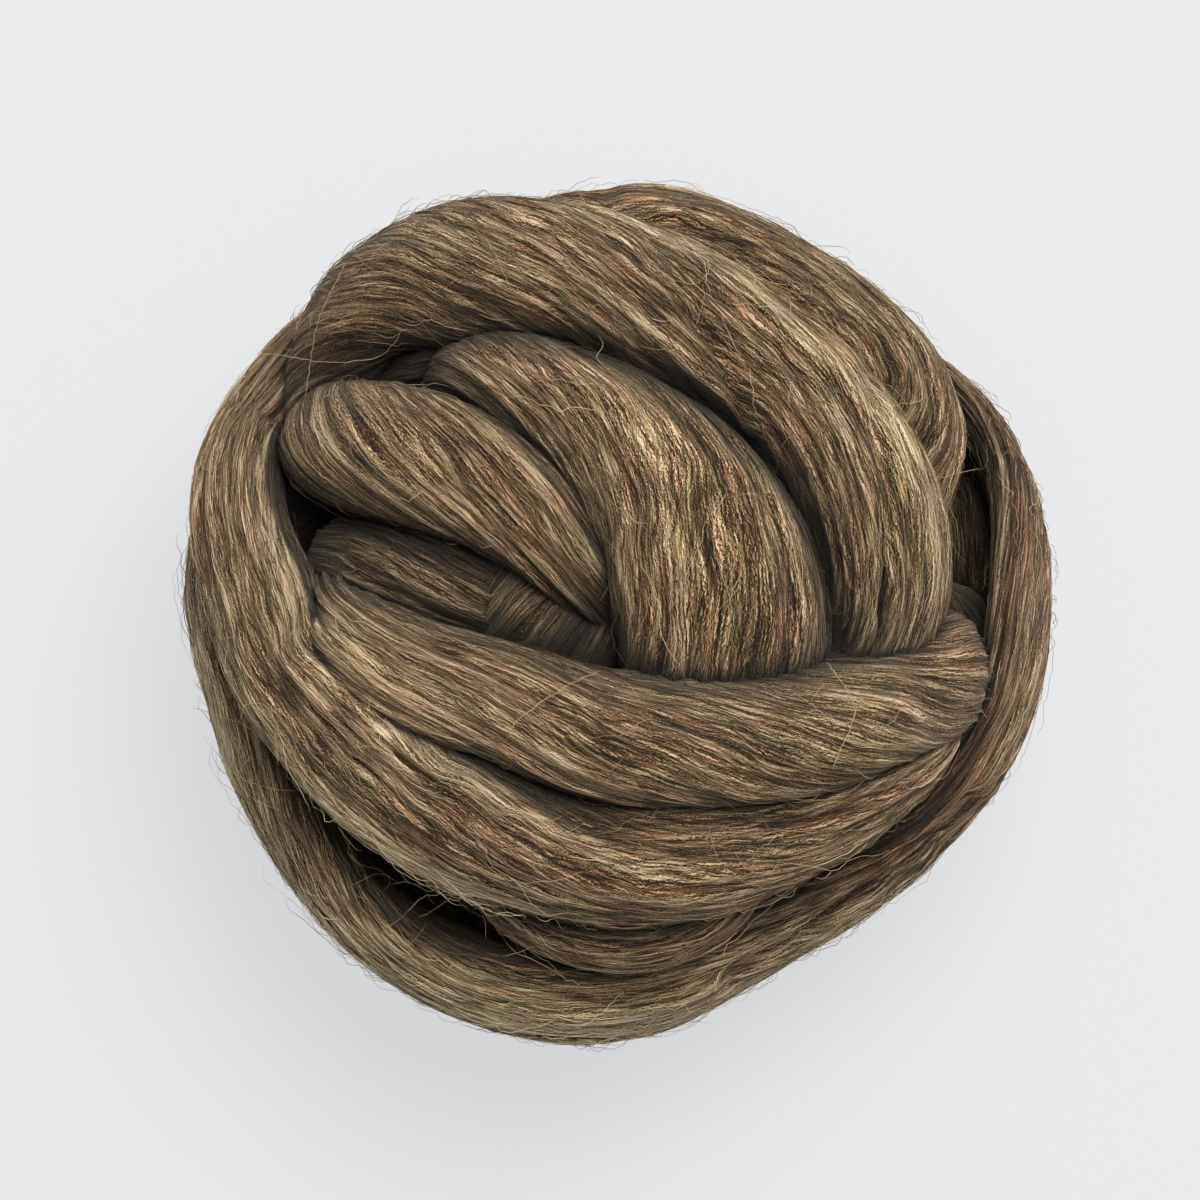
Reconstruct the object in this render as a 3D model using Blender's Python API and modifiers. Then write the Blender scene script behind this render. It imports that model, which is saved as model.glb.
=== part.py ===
"""A ball of combed wool roving, wound loosely from one soft, slightly twisted strand.

Blender 4.5, metres, +Z up.  The ball stands on a small flat spot at Z = 0, with the
origin in the middle of that spot.  +X is east and +Y is north, as seen from above.

The ball is one solid.  Each wrap of the strand is lofted through a short table of
sections, the wraps and a core are fused into one skin, and the skin is thinned and
cut flat where it rests.
"""

import math
from collections import namedtuple

import bmesh
import bpy
import numpy as np
from mathutils import Vector

MM = 0.001

# The ball's outline, which the outer face of the wraps follows.
BALL_RADIUS = 81 * MM
BALL_HALF_HEIGHT = 60 * MM
BALL_CENTRE = Vector((0, 0, 56 * MM))

# The packed middle that the wraps lie on.
CORE_RADIUS = 59 * MM
CORE_HALF_HEIGHT = 42 * MM
CORE_SEGMENTS = 48

# How finely a wrap is lofted, and the rounded shape of its section.
SECTION_POINTS = 36
STEP = 3 * MM
SQUARENESS = 2.3

# Raised locks that run round the strand with its twist.
LOCKS_ROUND = 5
LOCK_HEIGHT = 0.8 * MM
TWIST_PER_METRE = 6.0

# The fused skin.
SKIN_CELL = 1.3 * MM
SKIN_SMOOTHING = 0.5
SKIN_SMOOTH_PASSES = 4
SKIN_TRIANGLES = 11700

# The flat spot is cut by a block this far across and deep.
TABLE_SIDE = 400 * MM
TABLE_DEPTH = 60 * MM

WOOL_COLOUR = (0.105, 0.068, 0.040, 1)
WOOL_ROUGHNESS = 0.85

UP, DOWN = 1, -1

# One row for each section of a wrap, in millimetres.  east and north say where the
# wrap's crest lies seen from above, and half says which half of the ball that is on.
# depth is how far the crest lies under the ball's outline.
Section = namedtuple("Section", "east north half depth width thick")

WRAPS = {
    # The outermost wrap: a tilted ring that makes the east, south and west rim.
    "rim": (
        Section(79, 2, UP, 2, 27, 9),
        Section(76.5, -20.3, UP, 3.5, 27, 10),
        Section(66.5, -44, UP, 6.8, 28, 12),
        Section(48, -63.5, UP, 9.8, 28, 15),
        Section(24.5, -75.5, UP, 8.6, 29, 17),
        Section(-2, -79.3, UP, 3.3, 29, 18),
        Section(-30.5, -74.5, UP, 1.5, 28, 16),
        Section(-54, -60, UP, 2.2, 28, 15),
        Section(-70, -39, UP, 4, 28, 15),
        Section(-78.5, -13.5, UP, 3.5, 28, 16),
        Section(-80, 12, DOWN, 1, 28, 20),
        Section(-68, 40, DOWN, 5, 28, 20),
        Section(-40, 66, DOWN, 6, 28, 20),
        Section(-4, 77, DOWN, 5, 28, 20),
        Section(32, 71, DOWN, 7, 28, 18),
        Section(58, 53, DOWN, 8, 28, 14),
        Section(69, 41, DOWN, 3.5, 27, 11),
        Section(76.7, 26.2, UP, 1.5, 27, 9),
    ),
    # The north rim, under the arch.  Its east end turns down into the deep gap.
    "back": (
        Section(-56, 50, DOWN, 16, 24, 18),
        Section(-39, 65, UP, 10, 26, 20),
        Section(-20, 73, UP, 3, 28, 22),
        Section(3, 76, UP, 0, 28, 22),
        Section(25, 72, UP, 2, 28, 22),
        Section(44, 62, UP, 3, 28, 23),
        Section(58, 48, UP, 4, 27, 23),
        Section(61, 32, UP, 7, 24, 21),
        Section(56, 19, UP, 17, 22, 18),
        Section(47, 4, UP, 28, 20, 16),
    ),
    # The arch: the big wrap over the north, from the west rim to the crown's east.
    "arch": (
        Section(-76, -18, DOWN, 16, 20, 16),
        Section(-77, 10, DOWN, 13, 20, 16),
        Section(-73, 34, UP, 12, 18, 16),
        Section(-62, 49, UP, 4, 19, 17),
        Section(-48, 58, UP, -5, 19, 19),
        Section(-32, 64, UP, -8, 25, 25),
        Section(-14, 64, UP, -8, 24, 25),
        Section(5, 59, UP, -7, 25.5, 26),
        Section(21, 50, UP, -7, 25, 26),
        Section(35, 39, UP, -7, 23.5, 26),
        Section(45, 24, UP, -7, 24.5, 26),
        Section(50, 10, UP, -4, 23, 24),
        Section(52, -3, UP, 4, 20, 20),
        Section(51, -17, UP, 20, 18, 16),
    ),
    # The crown: the widest wrap, over the middle.
    "crown": (
        Section(-46, 56, UP, 26, 14, 14),
        Section(-38, 55, UP, 16, 15, 14),
        Section(-29, 52, UP, 8, 18, 17),
        Section(-12, 43, UP, 3, 22, 22),
        Section(1, 34, UP, 1, 28, 27),
        Section(12, 22, UP, 0, 34, 31),
        Section(19, 8, UP, -1, 38, 32),
        Section(22, -3, UP, 3, 39, 30),
        Section(23, -12, UP, 13, 36, 26),
        Section(24, -23, UP, 28, 30, 18),
    ),
    # The wrap that turns over at the west, beside the crown.
    "inner": (
        Section(-72, 36, UP, 22, 18, 16),
        Section(-66, 39, UP, 9, 21, 20),
        Section(-55, 36, UP, 3, 23, 23),
        Section(-44, 33, UP, 1, 24, 24),
        Section(-30, 28, UP, 2, 23, 23),
        Section(-17, 20, UP, 6, 20, 20),
        Section(-6, 9, UP, 12, 16, 16),
        Section(6, -4, UP, 26, 14, 14),
    ),
    # What shows in the hollow west of the crown: one strand lies along it, two dive.
    "hollow": (
        Section(-78, 12, UP, 28, 16, 14),
        Section(-68, 12, UP, 17, 18, 16),
        Section(-58, 11, UP, 16, 20, 16),
        Section(-46, 9, UP, 15, 20, 17),
        Section(-34, 6, UP, 15, 19, 16),
        Section(-22, 3, UP, 18, 16, 13),
        Section(-10, 0, UP, 25, 13, 12),
    ),
    "dive_west": (
        Section(-8, 16, UP, 30, 18, 12),
        Section(-15, 7, UP, 18, 19, 13),
        Section(-20, -1, UP, 15, 20, 14),
        Section(-26, -13, UP, 25, 18, 12),
    ),
    "dive_east": (
        Section(2, 8, UP, 32, 14, 12),
        Section(-3, 1, UP, 21, 14, 12),
        Section(-6, -6, UP, 18, 14, 13),
        Section(-11, -17, UP, 27, 13, 12),
    ),
    # The front wrap: from under the west wrap to the gap in the east.
    "front": (
        Section(-72, 8, UP, 24, 12, 12),
        Section(-59, 0, UP, 9, 12, 14),
        Section(-41, -10, UP, 1, 17, 19),
        Section(-22, -17, UP, -1, 20, 23),
        Section(-2, -23, UP, -3, 23, 25),
        Section(18, -24, UP, -3, 24, 26),
        Section(36, -22, UP, -3, 23, 26),
        Section(51, -17.5, UP, -1, 22.5, 25),
        Section(63.5, -12.5, UP, 2, 24, 22),
        Section(71, -10, UP, 13, 21, 18),
        Section(71, -8, UP, 30, 17, 16),
    ),
    # The west wrap: over the arch's end, down the west side and along the south.
    "west": (
        Section(-10, 62, DOWN, 7, 24, 18),
        Section(-34, 68, DOWN, 3, 22, 18),
        Section(-52, 60, DOWN, 1, 20, 18),
        Section(-65, 48, UP, 0, 15, 15),
        Section(-72, 36, UP, -1, 17, 15),
        Section(-74, 20, UP, -2, 19, 16),
        Section(-71, 4, UP, -1, 22, 18),
        Section(-65, -10, UP, -1, 24, 20),
        Section(-53, -22.5, UP, -1, 29, 24),
        Section(-40, -32, UP, -1, 30, 24),
        Section(-24.5, -40, UP, -1, 27, 24),
        Section(-9, -45, UP, -1, 26, 24),
        Section(8, -46, UP, -1, 26, 24),
        Section(24, -43, UP, 0, 25, 24),
        Section(38, -38, UP, 1, 23, 22),
        Section(51, -31, UP, 3, 21, 20),
        Section(62, -23, UP, 6, 17, 18),
        Section(68, -13, UP, 20, 13, 14),
    ),
    # The fold that shows between the west wrap and the rim, in the south.
    "fold": (
        Section(-46, -46, UP, 30, 14, 12),
        Section(-33, -56, UP, 19, 15, 14),
        Section(-19, -62, UP, 9, 14, 15),
        Section(-3, -64, UP, 5, 15, 16),
        Section(11, -62, UP, 5, 15, 16),
        Section(22, -56, UP, 8, 13, 14),
        Section(32, -47, UP, 22, 12, 12),
    ),
    # The wrap that lies deep between the west wrap and the rim.
    "under": (
        Section(-68, 2, UP, 17, 24, 16),
        Section(-64, -20, UP, 14, 26, 18),
        Section(-50, -40, UP, 14, 28, 18),
        Section(-28, -54, UP, 14, 28, 18),
        Section(-2, -60, UP, 14, 28, 18),
        Section(24, -57, UP, 14, 28, 18),
        Section(48, -44, UP, 16, 28, 18),
        Section(65, -24, UP, 19, 24, 16),
        Section(68, -2, UP, 26, 20, 14),
        Section(64, 20, UP, 34, 20, 14),
    ),
    # The south side below the rim.
    "belt": (
        Section(-76, 16, DOWN, 16, 24, 16),
        Section(-79, -12, DOWN, 8, 27, 18),
        Section(-66, -45, DOWN, 4, 30, 20),
        Section(-38, -69, DOWN, 2, 30, 20),
        Section(-4, -79, DOWN, 2, 30, 20),
        Section(28, -71, DOWN, 8, 30, 20),
        Section(57, -50, DOWN, 9, 30, 20),
        Section(76, -20, DOWN, 8, 28, 18),
        Section(79, 8, DOWN, 16, 24, 14),
    ),
    # The ring round the lower half, over the ends of the bands below.
    "base_ring": (
        Section(74, -6, DOWN, 2, 32, 20),
        Section(58, -38, DOWN, 4, 29, 20),
        Section(24, -60, DOWN, 5, 29, 20),
        Section(-18, -66, DOWN, 3, 29, 20),
        Section(-54, -50, DOWN, 2, 29, 20),
        Section(-72, -16, DOWN, 3, 29, 20),
        Section(-66, 20, DOWN, 4, 29, 20),
        Section(-40, 48, DOWN, 4, 29, 20),
        Section(-2, 62, DOWN, 3, 29, 20),
        Section(38, 60, DOWN, 3, 29, 20),
        Section(66, 32, DOWN, 3, 32, 20),
    ),
}

# One row for each straight band across the underside.  bearing is the way it runs,
# turned from east towards north in degrees, and offset is how far it passes beside
# the middle.  The other sizes are as above.
Band = namedtuple("Band", "bearing offset depth width thick")

BANDS = {
    "lower_1": Band(24, -50, 9, 28, 20),
    "lower_2": Band(20, -25, 9, 29, 20),
    "lower_3": Band(15, 1, 9, 29, 20),
    "lower_4": Band(18, 27, 9, 29, 20),
    "lower_5": Band(22, 51, 9, 28, 20),
    "across_1": Band(-64, -31, 1, 30, 22),
    "across_2": Band(-58, -2, -1, 33, 22),
    "across_3": Band(-66, 28, 1, 30, 22),
}
# A band's ends climb the sides by this many degrees, and sink under the wraps there.
BAND_REACH = 76
BAND_END_DEPTH = 21
BAND_ROWS = 9

CLOSED_WRAPS = ("rim", "base_ring")


def clear_scene():
    for obj in list(bpy.data.objects):
        bpy.data.objects.remove(obj)


def make_collection(name):
    collection = bpy.data.collections.new(name)
    bpy.context.scene.collection.children.link(collection)
    return collection


def settle_primitive(name, size, collection):
    """Names the primitive just added, gives it its size and puts it in its collection."""
    solid = bpy.context.object
    solid.name = name
    solid.scale = size
    bpy.ops.object.transform_apply(location=False, rotation=False, scale=True)
    for owner in list(solid.users_collection):
        owner.objects.unlink(solid)
    collection.objects.link(solid)
    solid.hide_render = True
    solid.display_type = "WIRE"
    return solid


def make_wool_material():
    material = bpy.data.materials.new("brown_wool")
    material.use_nodes = True
    shader = material.node_tree.nodes["Principled BSDF"]
    shader.inputs["Base Color"].default_value = WOOL_COLOUR
    shader.inputs["Roughness"].default_value = WOOL_ROUGHNESS
    shader.inputs["Metallic"].default_value = 0
    return material


def smooth_rows(rows, closed, per_row):
    """Points on one Catmull-Rom curve through the rows, per_row of them for each span."""
    count = len(rows)
    made = []
    for k in range(count if closed else count - 1):
        if closed:
            near = [rows[(k + j) % count] for j in (-1, 0, 1, 2)]
        else:
            near = [rows[min(max(k + j, 0), count - 1)] for j in (-1, 0, 1, 2)]
        before, start, end, after = near
        for share in np.arange(per_row) / per_row:
            made.append(
                0.5 * (2 * start
                       + (end - before) * share
                       + (2 * before - 5 * start + 4 * end - after) * share ** 2
                       + (3 * start - before - 3 * end + after) * share ** 3)
            )
    if not closed:
        made.append(rows[-1])
    return np.array(made)


def direction_of(section):
    """The section's direction from the ball's middle, on a ball of radius 1."""
    flat = Vector((section.east, section.north)) * MM / BALL_RADIUS
    up = math.sqrt(max(0.0, 1 - flat.length_squared))
    return Vector((flat.x, flat.y, up * section.half)).normalized()


def band_sections(band):
    """The sections of a band: an arc in an upright plane, across the ball's lower half."""
    bearing = math.radians(band.bearing)
    run = Vector((math.cos(bearing), math.sin(bearing), 0))
    beside = Vector((-math.sin(bearing), math.cos(bearing), 0)) * band.offset * MM / BALL_RADIUS
    reach = math.sqrt(1 - beside.length_squared)
    rows = []
    for share in np.linspace(-1, 1, BAND_ROWS):
        swing = math.radians(BAND_REACH) * share
        point = (beside + run * reach * math.sin(swing)) * BALL_RADIUS / MM
        depth = band.depth + (BAND_END_DEPTH - band.depth) * share ** 4
        rows.append(Section(point.x, point.y, DOWN, depth, band.width, band.thick))
    return tuple(rows)


def wrap_line(sections, closed):
    """Crest points, outward normals, depths, widths and thicknesses along a wrap."""
    rows = np.array([
        (*direction_of(s), s.depth * MM, s.width * MM, s.thick * MM) for s in sections
    ])
    span = BALL_RADIUS * np.linalg.norm(np.diff(rows[:, :3], axis=0), axis=1).mean()
    fine = smooth_rows(rows, closed, max(2, round(span / STEP)))
    unit = fine[:, :3] / np.linalg.norm(fine[:, :3], axis=1)[:, None]
    size = np.array((BALL_RADIUS, BALL_RADIUS, BALL_HALF_HEIGHT))
    normal = unit / size
    normal /= np.linalg.norm(normal, axis=1)[:, None]
    crest = np.array(BALL_CENTRE) + unit * size - normal * fine[:, 3:4]
    return crest, normal, fine[:, 4], fine[:, 5]


def section_ring(width, thick, along):
    """One section of the strand, across and out, with its raised locks turned by the twist."""
    turn = np.linspace(0, 2 * math.pi, SECTION_POINTS, endpoint=False)
    across = np.sign(np.cos(turn)) * np.abs(np.cos(turn)) ** (2 / SQUARENESS)
    out = np.sign(np.sin(turn)) * np.abs(np.sin(turn)) ** (2 / SQUARENESS)
    lock = np.abs(np.cos(LOCKS_ROUND / 2 * (turn + TWIST_PER_METRE * along)))
    swell = 1 + LOCK_HEIGHT * (2 * lock - 1) / (thick / 2)
    return across * swell * width / 2, out * swell * thick / 2


def loft_wrap(name, sections, collection):
    """One wrap of the strand: a tube lofted through its sections, flat side to the ball."""
    closed = name in CLOSED_WRAPS
    crest, normal, widths, thicks = wrap_line(sections, closed)
    centre = crest - normal * thicks[:, None] / 2
    if closed:
        tangent = np.roll(centre, -1, axis=0) - np.roll(centre, 1, axis=0)
    else:
        tangent = np.gradient(centre, axis=0)
    tangent /= np.linalg.norm(tangent, axis=1)[:, None]
    side = np.cross(tangent, normal)
    side /= np.linalg.norm(side, axis=1)[:, None]
    outward = np.cross(side, tangent)
    steps = np.linalg.norm(np.diff(centre, axis=0), axis=1)
    along = np.concatenate([[0], np.cumsum(steps)])

    loft = bmesh.new()
    rings = []
    for k in range(len(centre)):
        across, out = section_ring(widths[k], thicks[k], along[k])
        points = centre[k] + across[:, None] * side[k] + out[:, None] * outward[k]
        rings.append([loft.verts.new(p) for p in points])
    pairs = list(zip(rings, rings[1:]))
    if closed:
        pairs.append((rings[-1], rings[0]))
    for first, second in pairs:
        for j in range(SECTION_POINTS):
            following = (j + 1) % SECTION_POINTS
            loft.faces.new((first[j], second[j], second[following], first[following]))
    if not closed:
        loft.faces.new(rings[0])
        loft.faces.new(rings[-1][::-1])
    bmesh.ops.recalc_face_normals(loft, faces=loft.faces)
    mesh = bpy.data.meshes.new(name)
    loft.to_mesh(mesh)
    loft.free()
    wrap = bpy.data.objects.new(name, mesh)
    wrap.hide_render = True
    wrap.display_type = "WIRE"
    collection.objects.link(wrap)
    return wrap


def make_core(collection):
    """The packed middle: a ball, a little flatter than it is wide."""
    bpy.ops.mesh.primitive_uv_sphere_add(
        segments=CORE_SEGMENTS, ring_count=CORE_SEGMENTS // 2, radius=1, location=BALL_CENTRE
    )
    return settle_primitive("core", (CORE_RADIUS, CORE_RADIUS, CORE_HALF_HEIGHT), collection)


def make_table_cutter(collection):
    """A block whose top is the surface that the ball rests on."""
    bpy.ops.mesh.primitive_cube_add(size=1, location=(0, 0, -TABLE_DEPTH / 2))
    return settle_primitive("table_cutter", (TABLE_SIDE, TABLE_SIDE, TABLE_DEPTH), collection)


def outer_shell(mesh):
    """Keeps the skin that shows, and drops the small pockets that the wraps close in."""
    shell = bmesh.new()
    shell.from_mesh(mesh)
    shell.verts.ensure_lookup_table()
    seen = set()
    islands = []
    for start in shell.verts:
        if start in seen:
            continue
        island, todo = [], [start]
        seen.add(start)
        while todo:
            vert = todo.pop()
            island.append(vert)
            for edge in vert.link_edges:
                other = edge.other_vert(vert)
                if other not in seen:
                    seen.add(other)
                    todo.append(other)
        islands.append(island)
    islands.sort(key=len)
    for island in islands[:-1]:
        bmesh.ops.delete(shell, geom=island, context="VERTS")
    shell.to_mesh(mesh)
    shell.free()


def fuse(pieces, collection):
    """One closed skin round all the pieces."""
    together = bmesh.new()
    for piece in pieces:
        copy = piece.data.copy()
        copy.transform(piece.matrix_world)
        together.from_mesh(copy)
        bpy.data.meshes.remove(copy)
    mesh = bpy.data.meshes.new("pieces")
    together.to_mesh(mesh)
    together.free()
    loose = bpy.data.objects.new("pieces", mesh)
    collection.objects.link(loose)
    remesh = loose.modifiers.new("skin", "REMESH")
    remesh.mode = "VOXEL"
    remesh.voxel_size = SKIN_CELL
    skin = bpy.data.meshes.new_from_object(
        loose.evaluated_get(bpy.context.evaluated_depsgraph_get())
    )
    bpy.data.objects.remove(loose)
    outer_shell(skin)
    return skin


def make_wool_ball(parts, helpers):
    pieces = [make_core(helpers)]
    for name, sections in WRAPS.items():
        pieces.append(loft_wrap(name, sections, helpers))
    for name, band in BANDS.items():
        pieces.append(loft_wrap(name, band_sections(band), helpers))
    bpy.context.view_layer.update()
    skin = fuse(pieces, helpers)
    ball = bpy.data.objects.new("wool_ball", skin)
    parts.objects.link(ball)
    ball.data.materials.clear()
    ball.data.materials.append(make_wool_material())

    smooth = ball.modifiers.new("soften", "SMOOTH")
    smooth.factor = SKIN_SMOOTHING
    smooth.iterations = SKIN_SMOOTH_PASSES
    thin = ball.modifiers.new("thin", "DECIMATE")
    triangles = sum(len(face.vertices) - 2 for face in skin.polygons)
    thin.ratio = SKIN_TRIANGLES / triangles
    rest = ball.modifiers.new("flat_spot", "BOOLEAN")
    rest.operation = "DIFFERENCE"
    rest.object = make_table_cutter(helpers)
    ball.data.shade_smooth()
    return ball


def main():
    clear_scene()
    parts = make_collection("wool_roving_ball")
    helpers = make_collection("helpers")
    make_wool_ball(parts, helpers)


main()
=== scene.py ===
# %% [markdown]
# # A ball of combed wool roving
#
# Roving, or top, is wool that has been combed so that its fibres lie side by side in
# one long, soft strand. Here one strand is wound loosely on itself into a ball, and the
# ball lies on a pale table, seen from straight above.
#
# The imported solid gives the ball's size and place. This script keeps that size, and
# builds the wraps again at a finer scale: each wrap is a lofted tube with raised locks,
# over it lie thousands of single fibres, and a thin halo of stray hairs stands off it.

import math
from collections import namedtuple
from types import SimpleNamespace

import bpy
import numpy as np
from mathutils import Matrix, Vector


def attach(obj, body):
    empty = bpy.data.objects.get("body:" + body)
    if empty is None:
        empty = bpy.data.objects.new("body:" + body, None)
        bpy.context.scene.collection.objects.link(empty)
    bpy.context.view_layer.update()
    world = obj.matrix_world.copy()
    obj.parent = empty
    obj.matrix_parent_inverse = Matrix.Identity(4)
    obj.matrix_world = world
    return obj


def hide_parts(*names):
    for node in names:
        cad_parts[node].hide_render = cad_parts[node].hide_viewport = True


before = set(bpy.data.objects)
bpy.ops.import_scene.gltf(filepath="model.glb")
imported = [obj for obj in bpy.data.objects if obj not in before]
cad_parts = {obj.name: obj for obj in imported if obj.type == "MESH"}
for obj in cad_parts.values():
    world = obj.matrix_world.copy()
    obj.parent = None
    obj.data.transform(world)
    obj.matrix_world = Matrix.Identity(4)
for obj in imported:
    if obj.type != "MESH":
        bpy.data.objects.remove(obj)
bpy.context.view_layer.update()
MM = 0.001

# %% [markdown]
# ## The table and the light
#
# The table is pale, a little blue, and has no edge in view, so a wide slab of plain
# matt colour is enough. The light is soft and comes from all round, and a little more
# of it from the upper right, because the only shadow is a faint one at the lower left.
# An even sky gives the first, and one large lamp gives the second. The table also gives
# off light, as a light table does, which keeps the shadow faint and the table pale. The
# price is that the ball's contact shadow is weak when it is seen from the side.

# %% Camera, straight above
CAMERA_HEIGHT = 1.05
LOOK_AT_HEIGHT = 0.05
VIEW_WIDTH = 0.2212
SENSOR = 36
BALL_MIDDLE_PIXELS = (620, 616)
PICTURE_PIXELS = 1200

scene = bpy.context.scene
camera_data = bpy.data.cameras.new("camera")
camera_data.sensor_width = SENSOR
camera_data.lens = SENSOR * CAMERA_HEIGHT / VIEW_WIDTH
camera_data.shift_x = (PICTURE_PIXELS / 2 - BALL_MIDDLE_PIXELS[0]) / PICTURE_PIXELS
camera_data.shift_y = (BALL_MIDDLE_PIXELS[1] - PICTURE_PIXELS / 2) / PICTURE_PIXELS
camera = bpy.data.objects.new("camera", camera_data)
camera.location = (0, 0, LOOK_AT_HEIGHT + CAMERA_HEIGHT)
scene.collection.objects.link(camera)
scene.camera = camera
print("lens, mm:", round(camera_data.lens, 1))

# %% Sky and lamp
SKY_COLOUR = (0.93, 0.965, 1.0, 1)
SKY_STRENGTH = 0.46
LAMP_COLOUR = (1.0, 0.985, 0.96)
LAMP_PLACE = (0.45, 0.95, 2.2)
LAMP_SIDE = 1.3
LAMP_WATTS = 78

world = bpy.data.worlds.new("even_sky")
world.use_nodes = True
sky = world.node_tree.nodes["Background"]
sky.inputs["Color"].default_value = SKY_COLOUR
sky.inputs["Strength"].default_value = SKY_STRENGTH
scene.world = world

lamp_data = bpy.data.lights.new("window", "AREA")
lamp_data.shape = "SQUARE"
lamp_data.size = LAMP_SIDE
lamp_data.energy = LAMP_WATTS
lamp_data.color = LAMP_COLOUR
lamp = bpy.data.objects.new("window", lamp_data)
lamp.location = LAMP_PLACE
lamp_way = Vector((0, 0, LOOK_AT_HEIGHT)) - Vector(LAMP_PLACE)
lamp.rotation_euler = lamp_way.to_track_quat("-Z", "Y").to_euler()
scene.collection.objects.link(lamp)

# A plain transfer from light to picture keeps the pale table as pale as it is.
scene.view_settings.view_transform = "Standard"
scene.view_settings.look = "None"

# %% The table
TABLE_SIDE = 6.0
TABLE_THICK = 0.03
TABLE_COLOUR = (0.130, 0.132, 0.135, 1)
TABLE_GLOW = (0.80, 0.812, 0.826, 1)
TABLE_GLOW_STRENGTH = 0.765
TABLE_ROUGHNESS = 0.9
TABLE_SHINE = 0.1


def plain_mesh(name, points, faces):
    mesh = bpy.data.meshes.new(name)
    mesh.from_pydata([tuple(p) for p in points], [], [tuple(f) for f in faces])
    mesh.validate()
    piece = bpy.data.objects.new(name, mesh)
    scene.collection.objects.link(piece)
    return piece


half = TABLE_SIDE / 2
table = plain_mesh(
    "table",
    [(x, y, z) for z in (-TABLE_THICK, 0) for y in (-half, half) for x in (-half, half)],
    [(0, 2, 3, 1), (4, 5, 7, 6), (0, 1, 5, 4), (1, 3, 7, 5), (3, 2, 6, 7), (2, 0, 4, 6)],
)
table_paint = bpy.data.materials.new("pale_table")
table_paint.use_nodes = True
shader = table_paint.node_tree.nodes["Principled BSDF"]
shader.inputs["Base Color"].default_value = TABLE_COLOUR
shader.inputs["Roughness"].default_value = TABLE_ROUGHNESS
shader.inputs["Specular IOR Level"].default_value = TABLE_SHINE
shader.inputs["Emission Color"].default_value = TABLE_GLOW
shader.inputs["Emission Strength"].default_value = TABLE_GLOW_STRENGTH
table.data.materials.append(table_paint)
print("table:", len(table.data.polygons), "faces")

# %% [markdown]
# ## How the strand lies
#
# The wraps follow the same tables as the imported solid. A row says where a wrap's crest
# lies seen from above, which half of the ball that is on, how deep it lies under the
# ball's outline, and how wide and thick the strand is there. Keeping one table for both
# is why the fine wraps sit exactly where the plain ones do.

# %% The ball's outline and the wraps
BALL_RADIUS = 81 * MM
BALL_HALF_HEIGHT = 60 * MM
BALL_CENTRE = np.array((0, 0, 56 * MM))
SQUARENESS = 2.3
UP, DOWN = 1, -1

Section = namedtuple("Section", "east north half depth width thick")
Band = namedtuple("Band", "bearing offset depth width thick")

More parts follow.
